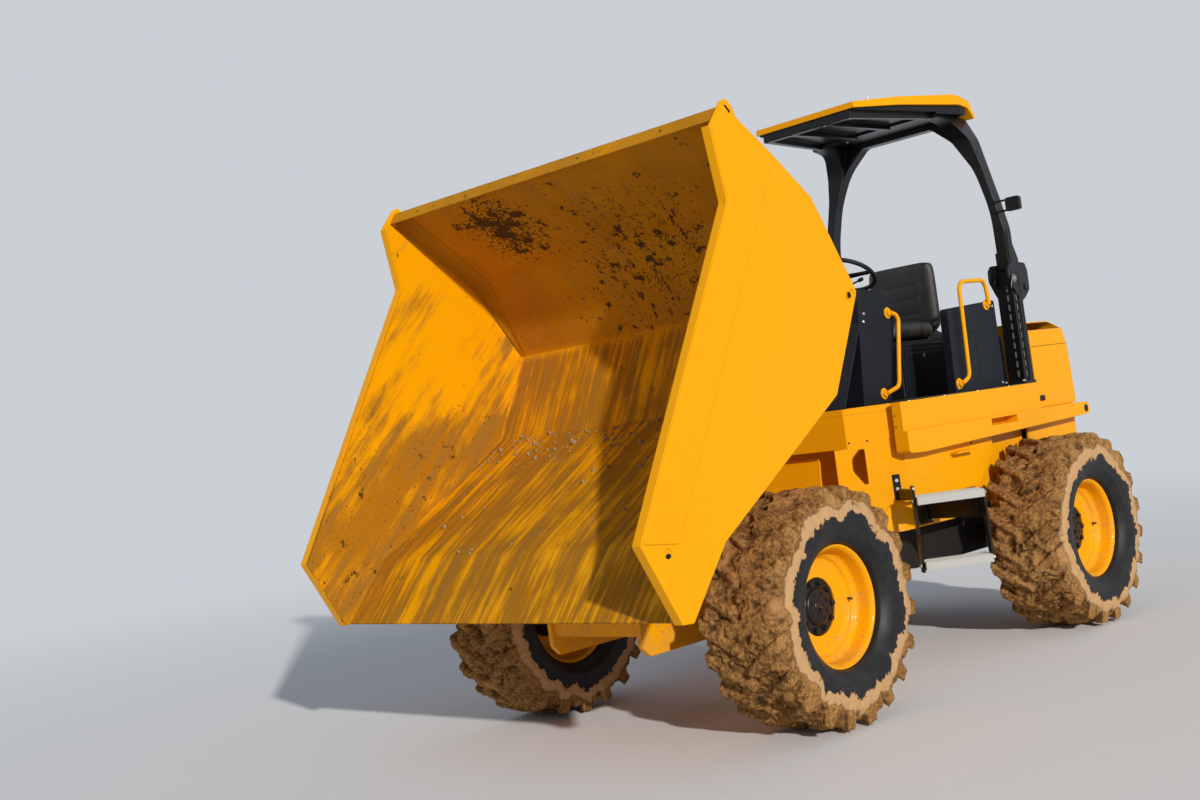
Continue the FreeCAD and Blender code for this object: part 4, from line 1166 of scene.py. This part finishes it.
@dataclass
class Skip:
    """What the skip's plates carry: the drilled top band, its holes drawn as discs of painted shade, corner fillets,
    welds and clinging soil.

    Attributes:
        half: Half the width between the side plates, inside.
        plate: Thickness of the floor plate.
        fillet: Radius of the soft corner beside the upper back.
        line: The floor plate's outer line from its peak to its lip, along and up from the pin in millimetres.
        eyes: Lifting eyes of the side plates, as x, y, z in millimetres and a radius in metres.
        crumbs: Crumbs of soil, and how many of them lie at the heel.
    """

    half: float = 1.212
    plate: float = 8.0
    fillet: float = 0.075
    line: tuple[tuple[float, float], ...] = (
        (-1800, 2903), (-1510, 2700), (-1260, 2510), (-990, 2050), (-1270, 1560), (-2220, 1000), (-2490, 700))
    eyes: tuple[tuple[float, ...], ...] = ((1216, -2589, 985, 0.0215), (1224, -1066, 2033, 0.017))
    crumbs: tuple[int, int] = (170, 110)

    def build(self) -> None:
        """Makes every piece."""
        self.holes()
        self.welds()
        self.corners()
        self.clods()

    def inner_line(self) -> tuple[np.ndarray, np.ndarray]:
        """Points of the floor's inner face and the directions that it faces there.

        Returns:
            Places along and up in metres, and mitred unit normals.
        """
        points = np.array(self.line, float)
        run = np.diff(points, axis=0)
        normal = np.stack([run[:, 1], -run[:, 0]], axis=-1)
        normal /= np.linalg.norm(normal, axis=1, keepdims=True)
        mitre = np.concatenate([normal[:1], normal[1:] + normal[:-1], normal[-1:]])
        mitre /= np.linalg.norm(mitre, axis=1, keepdims=True)
        return (points + mitre * self.plate) / 1000.0 + np.array((PIN_Y, WHEEL_PLANE_Z)), mitre

    def holes(self) -> None:
        """Discs and slots of painted shade for the drilled holes in the top band and under it, and for the side
        plates' slots and lifting eyes.
        """
        # The holes, slots and eyes are dark discs and slots of painted shade, not openings.
        holes = Bundle("skip_band_hole_shade", "skip", SHADE)
        rims = Bundle("skip_hole_rims", "skip", PAINT)
        holes.prism(slot_outline(*at(0, -1812, 2901)[1:], 0.022, 0.006, -46.0), 1.2241, 1.2246, mirror=True)
        for x in (-983, 302, 858):
            holes.turned(at(x, -1863, 2886), (0.0, -0.819, 0.574), disc(0.0068, 0.0004), 16)
        for x in (-1178, 850):
            holes.turned(at(x, -1752, 2859), (0.0, -0.573, -0.819), disc(0.0068), 16)
        for x, y, z, radius in self.eyes:
            holes.pairs(((x, y, z),), OUT, disc(radius, 0.0005), 28)
            for spot, _ in both(at(x + 0.6, y, z)):
                rims.tube(circle(spot, radius + 0.0007), 0.0016, 8, closed=True)
        holes.build()
        rims.build(smooth=True)

    def welds(self) -> None:
        """Beads along the floor's edges."""
        beads = Bundle("skip_welds", "skip", PAINT)
        line, _ = self.inner_line()
        path = np.concatenate([np.linspace(line[index], line[index + 1], 12)[:-1] for index in range(3, 6)])
        for hand in (1.0, -1.0):
            beads.tube([(hand * self.half, y, z) for y, z in path], 0.0055, 8)
        beads.build(smooth=True, material=FINISHES.skip(None))

    def corners(self) -> None:
        """Soft corners between the sides and the upper back: a quarter circle carried along the bend."""
        made = Bundle("skip_corners", "skip", PAINT)
        line, normal = self.inner_line()
        theta = np.linspace(0.0, math.pi / 2, 9)
        sunk = -0.002
        inward = np.concatenate([[sunk, sunk], self.fillet * (1.0 - np.cos(theta)), [self.fillet]])
        outward = np.concatenate([[sunk, self.fillet], self.fillet * (1.0 - np.sin(theta)), [sunk]])
        grown = np.array((1.0, 1.0, 1.0, 0.30))[:, None]
        for hand in (1.0, -1.0):
            made.stacked(np.stack([hand * (self.half - inward * grown)] + [
                line[:4, axis, None] + normal[:4, axis, None] * outward * grown for axis in (0, 1)], axis=-1))
        made.build(smooth=True, material=FINISHES.skip(None))

    def clods(self) -> None:
        """Crumbs of soil on the floor: small balls, dented by noise, sunk a little into the plate."""
        draw = np.random.default_rng(7)
        ball = bmesh.new()
        bmesh.ops.create_icosphere(ball, subdivisions=1, radius=1.0)
        shape = np.array([vert.co for vert in ball.verts])
        faces = [tuple(vert.index for vert in face.verts) for face in ball.faces]
        ball.free()
        line, normal = self.inner_line()
        made = Bundle("clinging_soil", "skip", SHADE)
        for number in range(self.crumbs[0]):
            heel = number < self.crumbs[1]
            share = draw.uniform(0.0, 0.40) ** 1.3 if heel else draw.uniform(0.0, 1.0)
            x = draw.uniform(-1.17, 0.1) if heel else draw.uniform(-1.15, 1.15)
            size = draw.uniform(0.004, 0.013) if draw.uniform() < 0.85 else draw.uniform(0.013, 0.022)
            spot = line[4] + (line[5] - line[4]) * share + normal[5] * size * 0.25
            dents = 1.0 + 0.35 * layered_noise(shape + number * 3.1, 1.3, 2, number)
            squash = draw.uniform(0.6, 1.0, 3)
            made.add(shape * dents[:, None] * squash * size + np.array((x, *spot)), faces)
        made.build(smooth=True, material=FINISHES.soil())


@dataclass
class RearBody:
    """Small parts of the yellow rear body: drilled holes drawn as discs of painted shade, brackets, rail ends and the
    deck's rubber.

    Attributes:
        nose: Direction that the slanting nose panel faces on the left.
        deck: Height of the deck in millimetres from the pin.
        stretches: The mats: where each starts and ends across in metres and along in millimetres, and
            whether the other side has the same.
        rib: Spacing of the mats' ribs in metres.
        ribs: Heights of the four points of a rib above the deck in metres.
    """

    body: str = "rear_body"
    nose: Place = (0.599, -0.801, 0.0)
    deck: float = 1477.0
    stretches: tuple[tuple[float, float, float, float, bool], ...] = (
        (0.482, 0.752, 36, 738, True), (0.662, 0.752, 738, 1432, True), (-0.455, 0.455, 350, 790, False))
    rib: float = 0.022
    ribs: tuple[float, ...] = (0.0022, 0.0050, 0.0050, 0.0022)

    def build(self) -> None:
        """Makes every piece."""
        self.holes()
        self.brackets()
        self.mats()

    def holes(self) -> None:
        """Discs of painted shade for the drilled holes of the nose, the sill's end and the side, and the plugs in the
        rails' ends.
        """
        # Each hole is a dark disc of painted shade.
        dark = Bundle("body_hole_shade", self.body, SHADE)
        dark.pairs(((460, -149, 1283), (543, -88, 1284)), self.nose, disc(0.006), 16)
        dark.pairs(((714, -40, 1402), (714, -40, 1339)), AHEAD, disc(0.005), 16)
        dark.pairs(((700, 757, 1172),), OUT, disc(0.008), 16)
        dark.build()
        plugs = Bundle("rail_end_plugs", self.body, GRIP)
        plugs.pairs(((786, 2112, 1262),), OUT, [
            (-0.012, 0.0195), (0.0, 0.0195), (0.0004, 0.0250), (0.0030, 0.0245), (0.0042, 0.0200)], 32)
        plugs.build()

    def brackets(self) -> None:
        """The bracket behind the ladder and the bolts that hold it."""
        black = Bundle("ladder_brackets", self.body, FRAME_BLACK)
        black.panel((176, 760), (318, 896), 0.012, 0.6425, 0.652, 0.002, True)
        black.panel((188, 770), (206, 886), 0.004, 0.650, 0.690, 0.002, True)
        black.build()
        bolts = Bundle("body_bolts", self.body, ZINC)
        bolts.bolt_pairs(tuple((652, y, z) for y in (200, 300) for z in (780, 876)), OUT, 0.017, 0.008)
        bolts.bolt_pairs(((654, -18.6, 992), (654, -18.6, 1040)), self.nose, 0.016, 0.008)
        bolts.build()

    def mats(self) -> None:
        """Ribbed rubber on the deck, a saw-toothed section drawn across each stretch, and its studs."""
        mat = Bundle("deck_mats", self.body, MAT)
        for x0, x1, y0, y1, mirror in self.stretches:
            (_, start, top), (_, end, _) = at(0, y0, self.deck), at(0, y1, self.deck)
            count = int((end - start) / self.rib)
            steps = np.linspace(start, end, count * 4 + 1)
            rise = np.tile(self.ribs, count + 1)[:len(steps)]
            corners = [(start, top + 0.0002, 0.0), (end, top + 0.0002, 0.0)]
            corners += [(y, top + h, 0.0) for y, h in zip(steps[::-1], rise[::-1])]
            mat.prism(corners, x0, x1, 0.0004, mirror)
        mat.build()
        studs = Bundle("deck_studs", self.body, ZINC)
        studs.pairs(tuple((756, y, self.deck) for y in (60, 438, 816, 1194)), UP,
                    [(-0.0005, 0.006), (0.002, 0.0055), (0.0035, 0.003)], 12)
        studs.build()


@dataclass
class Operator:
    """The operator's place: seat box with its door and pleated cover, cowl seams, controls.

    Attributes:
        pleats: Folds of the pleated cover.
        seat_low: Lowest place of the seat's box along and up, in millimetres from the pin.
        seat_high: Its highest.
        console_wall: Distance of the console's side from the middle, in millimetres.
        panel_wall: Distance of the side panel from the middle.
    """

    body: str = "rear_body"
    pleats: int = 6
    seat_low: tuple[float, float] = (800, 1477.6)
    seat_high: tuple[float, float] = (1330, 1826)
    console_wall: float = 460.2
    panel_wall: float = 655.2

    def build(self) -> None:
        """Makes every piece."""
        self.seat_box()
        self.bellows()
        self.cowls()
        self.controls()

    def seat_box(self) -> None:
        """The box under the seat: a body, a raised frame, a door and its latch on each side, and slides."""
        made = Bundle("seat_box", self.body, COWL)
        made.panel(self.seat_low, self.seat_high, 0.02, -0.262, 0.262, 0.006)
        made.panel((1302, self.seat_low[1]), (1470, 1890), 0.012, -0.178, 0.178, 0.004)
        made.panel(self.seat_low, self.seat_high, 0.02, 0.262, 0.267, 0.002, True, inset=0.03)
        made.panel(self.seat_low, self.seat_high, 0.016, 0.266, 0.2705, 0.002, True, inset=0.06)
        made.build(node="seat_base")
        slide = Bundle("seat_slides", self.body, FRAME_BLACK)
        for x in (-0.20, 0.16):
            slide.panel((830, 1825), (1300, 1848), 0.004, x, x + 0.04, 0.002)
        handle = [at(x, y, 1834) for x, y in ((140, 820), (140, 770), (-140, 770), (-140, 820))]
        slide.tube(curve(handle), 0.006)
        slide.build()
        latch = Bundle("seat_box_latches", self.body, ZINC)
        latch.pairs(((270.2, 1065, 1742),), OUT, [(-0.001, 0.013), (0.003, 0.013), (0.004, 0.010)])
        latch.prism(slot_outline(*at(0, 1065, 1742)[1:], 0.010, 0.003), 0.2735, 0.2765, 0.0008, True)
        latch.build()

    def bellows(self) -> None:
        """The pleated cover behind the seat: a rounded rectangle whose size swings in and out as it rises."""
        rise = np.linspace(0.0, 1.0, self.pleats * 6 + 1)
        swing = 0.5 + 0.5 * np.cos(rise * self.pleats * FULL_TURN)
        low, high = at(0, 1402, 1891), at(0, 1470, 2060)
        unit = softened(plate_outline(-1.0, -1.0, 1.0, 1.0, 0.45), 5)
        half_x = 0.158 + 0.016 * swing - 0.02 * rise
        half_y = (high[1] - low[1]) / 2.0 - 0.012 + 0.012 * swing
        made = Bundle("seat_bellows", self.body, GRIP)
        level = np.outer(low[2] + (high[2] - low[2]) * rise, np.ones(len(unit)))
        along = np.outer(half_y, unit[:, 1]) + (low[1] + high[1]) / 2.0
        made.stacked(np.stack([np.outer(half_x, unit[:, 0]), along, level], axis=-1))
        made.build(smooth=True)

    def cowls(self) -> None:
        """Seams and bolts of the moulded cowls, the wall behind them and the grab rails' feet."""
        seams = Bundle("cowl_seams", self.body, SHADE)
        seams.panel((752, 1836), (1338, 1839), 0.0, 0.6552, 0.6557, mirror=True)
        seams.panel((1052, 1480), (1055, 1836), 0.0, 0.6552, 0.6557, mirror=True)
        seams.panel((95, 1500), (330, 1503), 0.0, 0.4602, 0.4607, mirror=True)
        seams.build()
        wall = Bundle("rear_bulkhead", self.body, COWL)
        low, high = at(0, 1500, 1478), at(0, 1506, 1800)
        outline = plate_outline(-0.584, low[2], 0.584, high[2], 0.02)
        wall.prism(outline, low[1], high[1], 0.002, plane=Plane.FACE)
        wall.build()
        inner, outer = self.console_wall, self.panel_wall
        rails = ((inner, 270, 1534), (inner, 420, 2008), (outer, 790, 1533), (outer, 1232, 2000))
        feet = Bundle("grab_rail_feet", self.body, PAINT)
        feet.pairs(rails, OUT, [(0.0, 0.034), (0.005, 0.034), (0.007, 0.031), (0.007, 0.019)], 28)
        feet.build()
        bolts = Bundle("cowl_bolts", self.body, ZINC)
        bolts.bolt_pairs(tuple((x + 6.5, y + shift, z) for x, y, z in rails for shift in (-26.5, 26.5)),
                         OUT, 0.008, 0.005)
        bolts.bolt_pairs(((inner, 173, 2013), (inner, 161, 1966)), OUT, 0.014, 0.006)
        bolts.bolt_pairs(((outer, 775, 1505), (outer, 1310, 1505), (outer, 1310, 1990)), OUT, 0.013, 0.005)
        bolts.build()

    def controls(self) -> None:
        """A lever with its gaiter on the console, a column stalk, a plain dial cluster and two pedals."""
        made = Bundle("controls", self.body, GRIP)
        gaiter = [(-0.01, 0.045), (0.006, 0.044), (0.010, 0.036), (0.016, 0.038), (0.022, 0.028),
                  (0.028, 0.030), (0.034, 0.018), (0.040, 0.009)]
        lever = [(0.03, 0.0075), (0.13, 0.0065), (0.135, 0.016), (0.15, 0.022), (0.168, 0.024),
                 (0.186, 0.020), (0.195, 0.008)]
        for profile in (gaiter, lever):
            made.turned(at(-300, 420, 2098), (0.0, 0.35, 1.0), profile)
        stalk = [at(20, 640, 2225), at(70, 632, 2232), at(140, 625, 2246), at(165, 622, 2252)]
        made.tube(curve(stalk), 0.006)
        made.turned(stalk[-1], (0.9, -0.1, 0.22),
                    [(-0.012, 0.007), (-0.004, 0.012), (0.022, 0.012), (0.028, 0.008)], 20)
        made.prism(self.on_console(((0, -6), (118, -6), (118, 9), (0, 20)), 0.006), 0.06, 0.33, 0.003)
        for x in (-0.30, 0.12):
            pedal = side_outline(((520, 1484), (530, 1492), (410, 1608), (400, 1600)), 0.003)
            made.prism(pedal, x, x + 0.085, 0.002)
            middle = (x + 0.04) * 1000.0
            made.tube([at(middle, 450, 1544), at(middle, 390, 1504)], 0.008)
        made.build()
        glass = Bundle("dial_glass", self.body, HUB_BLACK)
        inset = self.on_console(((12, 17.2), (108, 9.6), (108, 11.4), (12, 20.4)), 0.0)
        glass.prism(inset, 0.075, 0.315, 0.0005)
        glass.build()

    @staticmethod
    def on_console(points: tuple, radius: float) -> list:
        """An outline on the console's sloping top.

        Args:
            points: Millimetres down the slope and out of it.
            radius: Radius of the corners in metres.

        Returns:
            Corners (u, v, radius).
        """
        slope = np.array((106.0, -105.0)) / math.hypot(106.0, 105.0)
        out = np.array((-slope[1], slope[0]))
        start = np.array((382.0, 2136.0))
        return side_outline([start + slope * down + out * up for down, up in points], radius)


@dataclass
class Hoop:
    """Fittings of the roll-over hoop and the roof.

    Attributes:
        slots: Slots in each row of a post.
        levels: Heights of the lowest and highest slot, in millimetres from the pin.
        lock: Place of the lock pin's head on the left.
        clip: Radius of the spring clips' wire in metres.
    """

    slots: int = 10
    levels: tuple[float, float] = (1545.0, 2090.0)
    lock: Place = (742, 1470, 2150)
    clip: float = 0.0022

    def build(self) -> None:
        """Makes every piece."""
        self.posts()
        self.pins()
        self.roof()

    def posts(self) -> None:
        """Two rows of slots in each post, each a recess in a pressed rim, filled with a pale grey of painted light
        that shows through the slot.
        """
        rims = Bundle("post_slot_rims", "rear_body", FRAME_BLACK)
        dark = Bundle("post_slots", "rear_body", SLOT_LIGHT_FILL)
        kinds = ((rims, 0.024, 0.0085, 0.0016, 0.0008), (dark, 0.020, 0.0055, 0.0020, 0.0))
        front, across, side, along = at(0, 1490, 0)[1], 0.676, 0.720, at(0, 1510, 0)[1]
        for level in np.linspace(*self.levels, self.slots):
            z = at(0, 0, level)[2]
            for made, long, wide, proud, bevel in kinds:
                made.prism(slot_outline(across, z, long, wide), front - proud, front, bevel, True, Plane.FACE)
                made.prism(slot_outline(along, z, long, wide), side, side + proud, bevel, True)
        rims.build()
        dark.build()

    def pins(self) -> None:
        """Heads of the fold pins and lock pins, spring clips and the feet's bolts."""
        heads = Bundle("hoop_pin_heads", "rear_body", FRAME_BLACK)
        bright = Bundle("hoop_clips", "rear_body", ZINC)
        for y, z, radius in ((1640, 2095, 0.026), (1470, 2150, 0.022)):
            profile = [(0.0, radius), (0.005, radius), (0.008, radius * 0.8)]
            heads.pairs(((732, y, z),), OUT, profile)
            heads.pairs(((587, y, z),), INWARD, profile)
        for (x, y, z), hand in both(at(*self.lock)):
            bright.tube(circle((x + 0.006 * hand, y, z), 0.022), self.clip, 8, closed=True)
            bright.tube(curve([(x + 0.006 * hand, y - 0.020, z), (x + 0.012 * hand, y - 0.045, z - 0.012),
                               (x + 0.004 * hand, y - 0.050, z - 0.050),
                               (x - 0.004 * hand, y - 0.030, z - 0.062)]),
                        self.clip, 8)
        bright.bolt_pairs((self.lock,), OUT, 0.020, 0.010)
        bright.bolt_pairs(((596, 1456, 1495), (724, 1456, 1495), (596, 1574, 1495)), UP, 0.019, 0.010)
        heads.build()
        bright.build()

    def roof(self) -> None:
        """The cap's small stud, its fixing bolts and the bolts of the tray."""
        bright = Bundle("roof_studs", "canopy", ZINC)
        bright.turned(at(352, 700, 3336), UP, [(0.0, 0.012), (0.012, 0.012), (0.014, 0.007), (0.030, 0.006),
                                               (0.032, 0.003)], 16)
        bright.pairs(((310, 560, 3299), (420, 1080, 3365), (470, 1400, 3378)), UP,
                     [(-0.004, 0.009), (0.003, 0.009), (0.005, 0.006)], 16)
        bright.bolt_pairs(((130, 530, 3226), (320, 530, 3226), (200, 1251, 3238), (430, 1251, 3238)), DOWN,
                          0.014, 0.006)
        bright.build()


@dataclass
class HoodParts:
    """Seams, louvres and handle of the hood.

    Attributes:
        louvres: How many slats.
        half: Half the width of the slats' frame in metres.
        top: Height of the frame's top, in millimetres from the pin.
        bottom: Height of its bottom.
    """

    louvres: int = 11
    half: float = 0.46
    top: float = 1690.0
    bottom: float = 1345.0

    def build(self) -> None:
        """Makes every piece."""
        seams = Bundle("hood_seams", "hood", SHADE)
        seams.panel((1668, 1706), (2152, 1709), 0.0, 0.6902, 0.6906, mirror=True)
        seams.prism(self.strip(0.001, 0.0), -self.half, self.half)
        seams.build()
        slats = Bundle("hood_louvres", "hood", COWL)
        for z in np.linspace(1352.0, 1674.0, self.louvres):
            y, up = self.rear(z)
            slats.prism([(y - 0.001, up + 0.012, 0.001), (y + 0.011, up - 0.006, 0.003),
                         (y + 0.011, up - 0.009, 0.003), (y - 0.001, up + 0.006, 0.001)],
                        -self.half + 0.01, self.half - 0.01, 0.001)
        for x in (-self.half, -0.006, self.half - 0.012):
            slats.prism(self.strip(0.012, 0.004), x, x + 0.012, 0.002)
        slats.build()
        latch = Bundle("hood_latches", "hood", GRIP)
        latch.panel((1690, 1352), (1750, 1388), 0.008, 0.6903, 0.699, 0.003, True)
        latch.build()

    def strip(self, proud: float, radius: float) -> list:
        """Outline of a strip that stands that far out of the hood's rear from top to bottom."""
        (y0, z0), (y1, z1) = self.rear(self.top), self.rear(self.bottom)
        return [(y0, z0, 0.0), (y1, z1, 0.0), (y1 + proud, z1, radius), (y0 + proud, z0, radius)]

    @staticmethod
    def rear(z: float) -> tuple[float, float]:
        """A place on the hood's sloping rear at a height."""
        return at(0, 2160.4 + (1700.0 - z) * 20.0 / 390.5, z)[1:]


@dataclass
class Ladder:
    """Saw teeth of the treads and bolts of the rails, on the ladder's own slanted line.

    Attributes:
        foot: The line's start on the left side, from the pin in millimetres.
        head: Its end.
        levels: Heights of the treads' undersides.
        rows: How far out of the line each row of teeth stands.
        margin: Length of the treads' ends with no teeth.
        pitch: Length of a tooth.
        tall: Height of a tooth.
        sheet: Half the thickness of a row.
    """

    foot: tuple[float, float] = (800.0, -110.0)
    head: tuple[float, float] = (1085.0, 165.0)
    levels: tuple[float, ...] = (545.0, 905.0)
    rows: tuple[float, ...] = (-79.0, -58.0, -30.0, -2.0, 26.0, 66.5)
    margin: float = 16.0
    pitch: float = 11.0
    tall: float = 6.0
    sheet: float = 1.2

    def build(self) -> None:
        """Makes every piece."""
        self.width = math.dist(self.foot, self.head)
        self.run = [(end - start) / self.width for start, end in zip(self.foot, self.head)]
        teeth = Bundle("tread_teeth", "rear_body", ALLOY)
        bolts = Bundle("ladder_bolts", "rear_body", ZINC)
        for hand in (1.0, -1.0):
            for level in self.levels:
                for out in self.rows:
                    self.row(teeth, hand, out, level + 41.6)
                for along, facing in ((-0.3, -1.0), (self.width + 0.3, 1.0)):
                    for out in (-14.0, 14.0):
                        bolts.bolt(self.on(hand, along, out, level + 21.0),
                                   (hand * facing * self.run[0], facing * self.run[1], 0.0), 0.016, 0.007)
            bolts.bolt(self.on(hand, 6.0, 30.3, 995.0), (hand * self.run[1], -self.run[0], 0.0), 0.010, 0.006)
        teeth.build()
        bolts.build()

    def on(self, hand: float, along: float | np.ndarray, out: float, z: float | np.ndarray) -> Place:
        """A point on the ladder, or an array of them.

        Args:
            hand: Sign of the side.
            along: Distance along the ladder's width.
            out: Distance outwards from its line.
            z: Height.

        Returns:
            The place in metres.
        """
        x = self.foot[0] + self.run[0] * along + self.run[1] * out
        return at(hand * x, self.foot[1] + self.run[1] * along - self.run[0] * out, z)

    def row(self, teeth: Bundle, hand: float, out: float, z: float) -> None:
        """Adds a row of teeth: a zigzag outline drawn a sheet's thickness along the tread's depth.

        Args:
            teeth: What it is added to.
            hand: Sign of the side.
            out: Distance outwards from the ladder's line.
            z: Height of the tread's top.
        """
        start, end = self.margin, self.width - self.margin
        count = int((end - start) / self.pitch)
        along = np.repeat(np.linspace(start, end, count + 1), 2)[1:-1]
        rise = np.tile((self.tall, self.tall * 0.15), count)
        outline = np.concatenate([[[start, -0.5], [end, -0.5]], np.stack([along, rise], axis=-1)[::-1]])
        teeth.stacked(np.stack([np.stack(self.on(hand, outline[:, 0], out + half, z + outline[:, 1]), axis=-1)
                                for half in (-self.sheet, self.sheet)]))


class CadFinishes:
    """Finishes of the CAD nodes that show as they are."""

    BY_SLOT = {finish.slot: finish for finish in (
        PAINT, FRAME_BLACK, AXLE_BLACK, ENGINE_IRON, HUB_BLACK, COWL, GRIP, ALLOY, CHROME, RUBBER, VINYL)}

    def build(self) -> None:
        """Gives each node the finish of its record slot, and the skip's plates their own."""
        slots = {row["node"]: row["material_slot"] for row in frame["record"]["subparts"]}
        for name, obj in frame["nodes"].items():
            if name == "skip_floor":
                material = FINISHES.skip(None)
            elif name.startswith("skip_side_"):
                material = FINISHES.skip(Side.named(name))
            else:
                material = FINISHES.dress(self.BY_SLOT[slots[name]])
            obj.data.materials.clear()
            obj.data.materials.append(material)


@dataclass
class Studio:
    """Floor, lights and camera.

    Attributes:
        backdrop: Linear colour of the pale background.
        ground: Linear colour of the floor.
        reach: Half the floor's width.
        fade: Distances from the machine over which the floor turns into the background.
        sky: Linear colour of the even light that falls on the machine.
        sun_ray: Direction of the key light's rays, low from the driver's left front.
        sun_power: Strength of the key light.
        sun_spread: Its angle in degrees, which softens its shadows.
        sun_tint: Its colour.
        stand: Place of the camera, at the driver's left front, low.
        ahead: Where it looks.
        roll: Its tilt in degrees, as the photograph's.
        lens: Its focal length in millimetres on a sensor 36 wide.
    """

    backdrop: tuple[float, float, float] = (0.60, 0.63, 0.67)
    ground: tuple[float, float, float] = (0.86, 0.86, 0.85)
    reach: float = 90.0
    fade: tuple[float, float] = (4.0, 15.0)
    sky: tuple[float, float, float] = (0.25, 0.28, 0.33)
    sun_ray: Place = (-2.42, 1.23, -1.0)
    sun_power: float = 3.05
    sun_spread: float = 1.6
    sun_tint: tuple[float, float, float] = (1.0, 0.97, 0.92)
    stand: Place = (5.232, -6.652, 1.565)
    ahead: Place = (-0.70168, 0.71217, 0.02137)
    roll: float = -7.71
    lens: float = 43.28

    def build(self) -> None:
        """Sets the stage."""
        self.floor()
        self.lights()
        self.camera()

    def floor(self) -> None:
        """A pale floor that turns into the background's own colour far out."""
        shader = Shader("studio_floor")
        away = shader.node("ShaderNodeVectorMath", {0: shader.place()}, operation="LENGTH").outputs["Value"]
        shader.out(Base_Color=self.ground, Roughness=0.9, Specular_IOR_Level=0.0)
        glow = shader.node("ShaderNodeEmission", {"Color": self.backdrop, "Strength": 1.0})
        joined = shader.node("ShaderNodeMixShader", {
            0: shader.ramp(away, *self.fade), 1: shader.surface.outputs["BSDF"], 2: glow.outputs["Emission"]})
        shader.feed(shader.tree.nodes["Material Output"].inputs["Surface"], joined.outputs["Shader"])
        corners = np.array([(-1, -1, 0), (1, -1, 0), (1, 1, 0), (-1, 1, 0)]) * self.reach
        mesh_object("floor", corners, [(0, 1, 2, 3)], shader.material, smooth=False, tidy=False)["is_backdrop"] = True

    def lights(self) -> None:
        """A key light along the rays of the photograph and a soft even sky."""
        world = bpy.data.worlds.new("studio")
        bpy.context.scene.world = world
        world.use_nodes = True
        nodes = NodeTree(world.node_tree)
        shown = world.node_tree.nodes["Background"]
        nodes.feed(shown.inputs["Color"], self.backdrop)
        light = nodes.node("ShaderNodeBackground", {"Color": self.sky})
        path = nodes.node("ShaderNodeLightPath").outputs
        seen = nodes.most(nodes.most(path["Is Camera Ray"], path["Is Glossy Ray"]), path["Is Transmission Ray"])
        choice = nodes.node("ShaderNodeMixShader", {0: seen, 1: light.outputs[0], 2: shown.outputs[0]})
        nodes.feed(world.node_tree.nodes["World Output"].inputs["Surface"], choice.outputs[0])
        sun = bpy.data.lights.new("key", "SUN")
        sun.energy, sun.angle, sun.color = self.sun_power, math.radians(self.sun_spread), self.sun_tint
        lamp = bpy.data.objects.new("key", sun)
        lamp.rotation_euler = Vector(self.sun_ray).to_track_quat("-Z", "Y").to_euler()
        bpy.context.scene.collection.objects.link(lamp)

    def camera(self) -> None:
        """The photograph's own view."""
        data = bpy.data.cameras.new("view")
        data.lens, data.sensor_width = self.lens, 36.0
        made = bpy.data.objects.new("view", data)
        ahead = Vector(self.ahead).normalized()
        across = ahead.cross(Vector((0, 0, 1))).normalized()
        up = across.cross(ahead)
        roll = math.radians(self.roll)
        right = across * math.cos(roll) + up * math.sin(roll)
        matrix = Matrix((right, right.cross(ahead), -ahead)).transposed().to_4x4()
        matrix.translation = Vector(self.stand)
        made.matrix_world = matrix
        bpy.context.scene.collection.objects.link(made)
        bpy.context.scene.camera = made
        bpy.context.scene.view_settings.view_transform = "Standard"


def main() -> None:
    """Builds every sub-assembly's looks on its stage."""
    Studio().build()
    CadFinishes().build()
    for number, corner in enumerate(("front_left", "front_right", "rear_left", "rear_right")):
        Wheel(corner, seed=number).build()
    for part in (Cushion("seat_cushion", 2), Cushion("seat_back", 1), Skip(), RearBody(), Operator(),
                 Hoop(), HoodParts(), Ladder()):
        part.build()
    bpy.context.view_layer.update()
    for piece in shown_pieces():
        log.info("piece %s", piece.name)


if __name__ == "__main__":
    main()
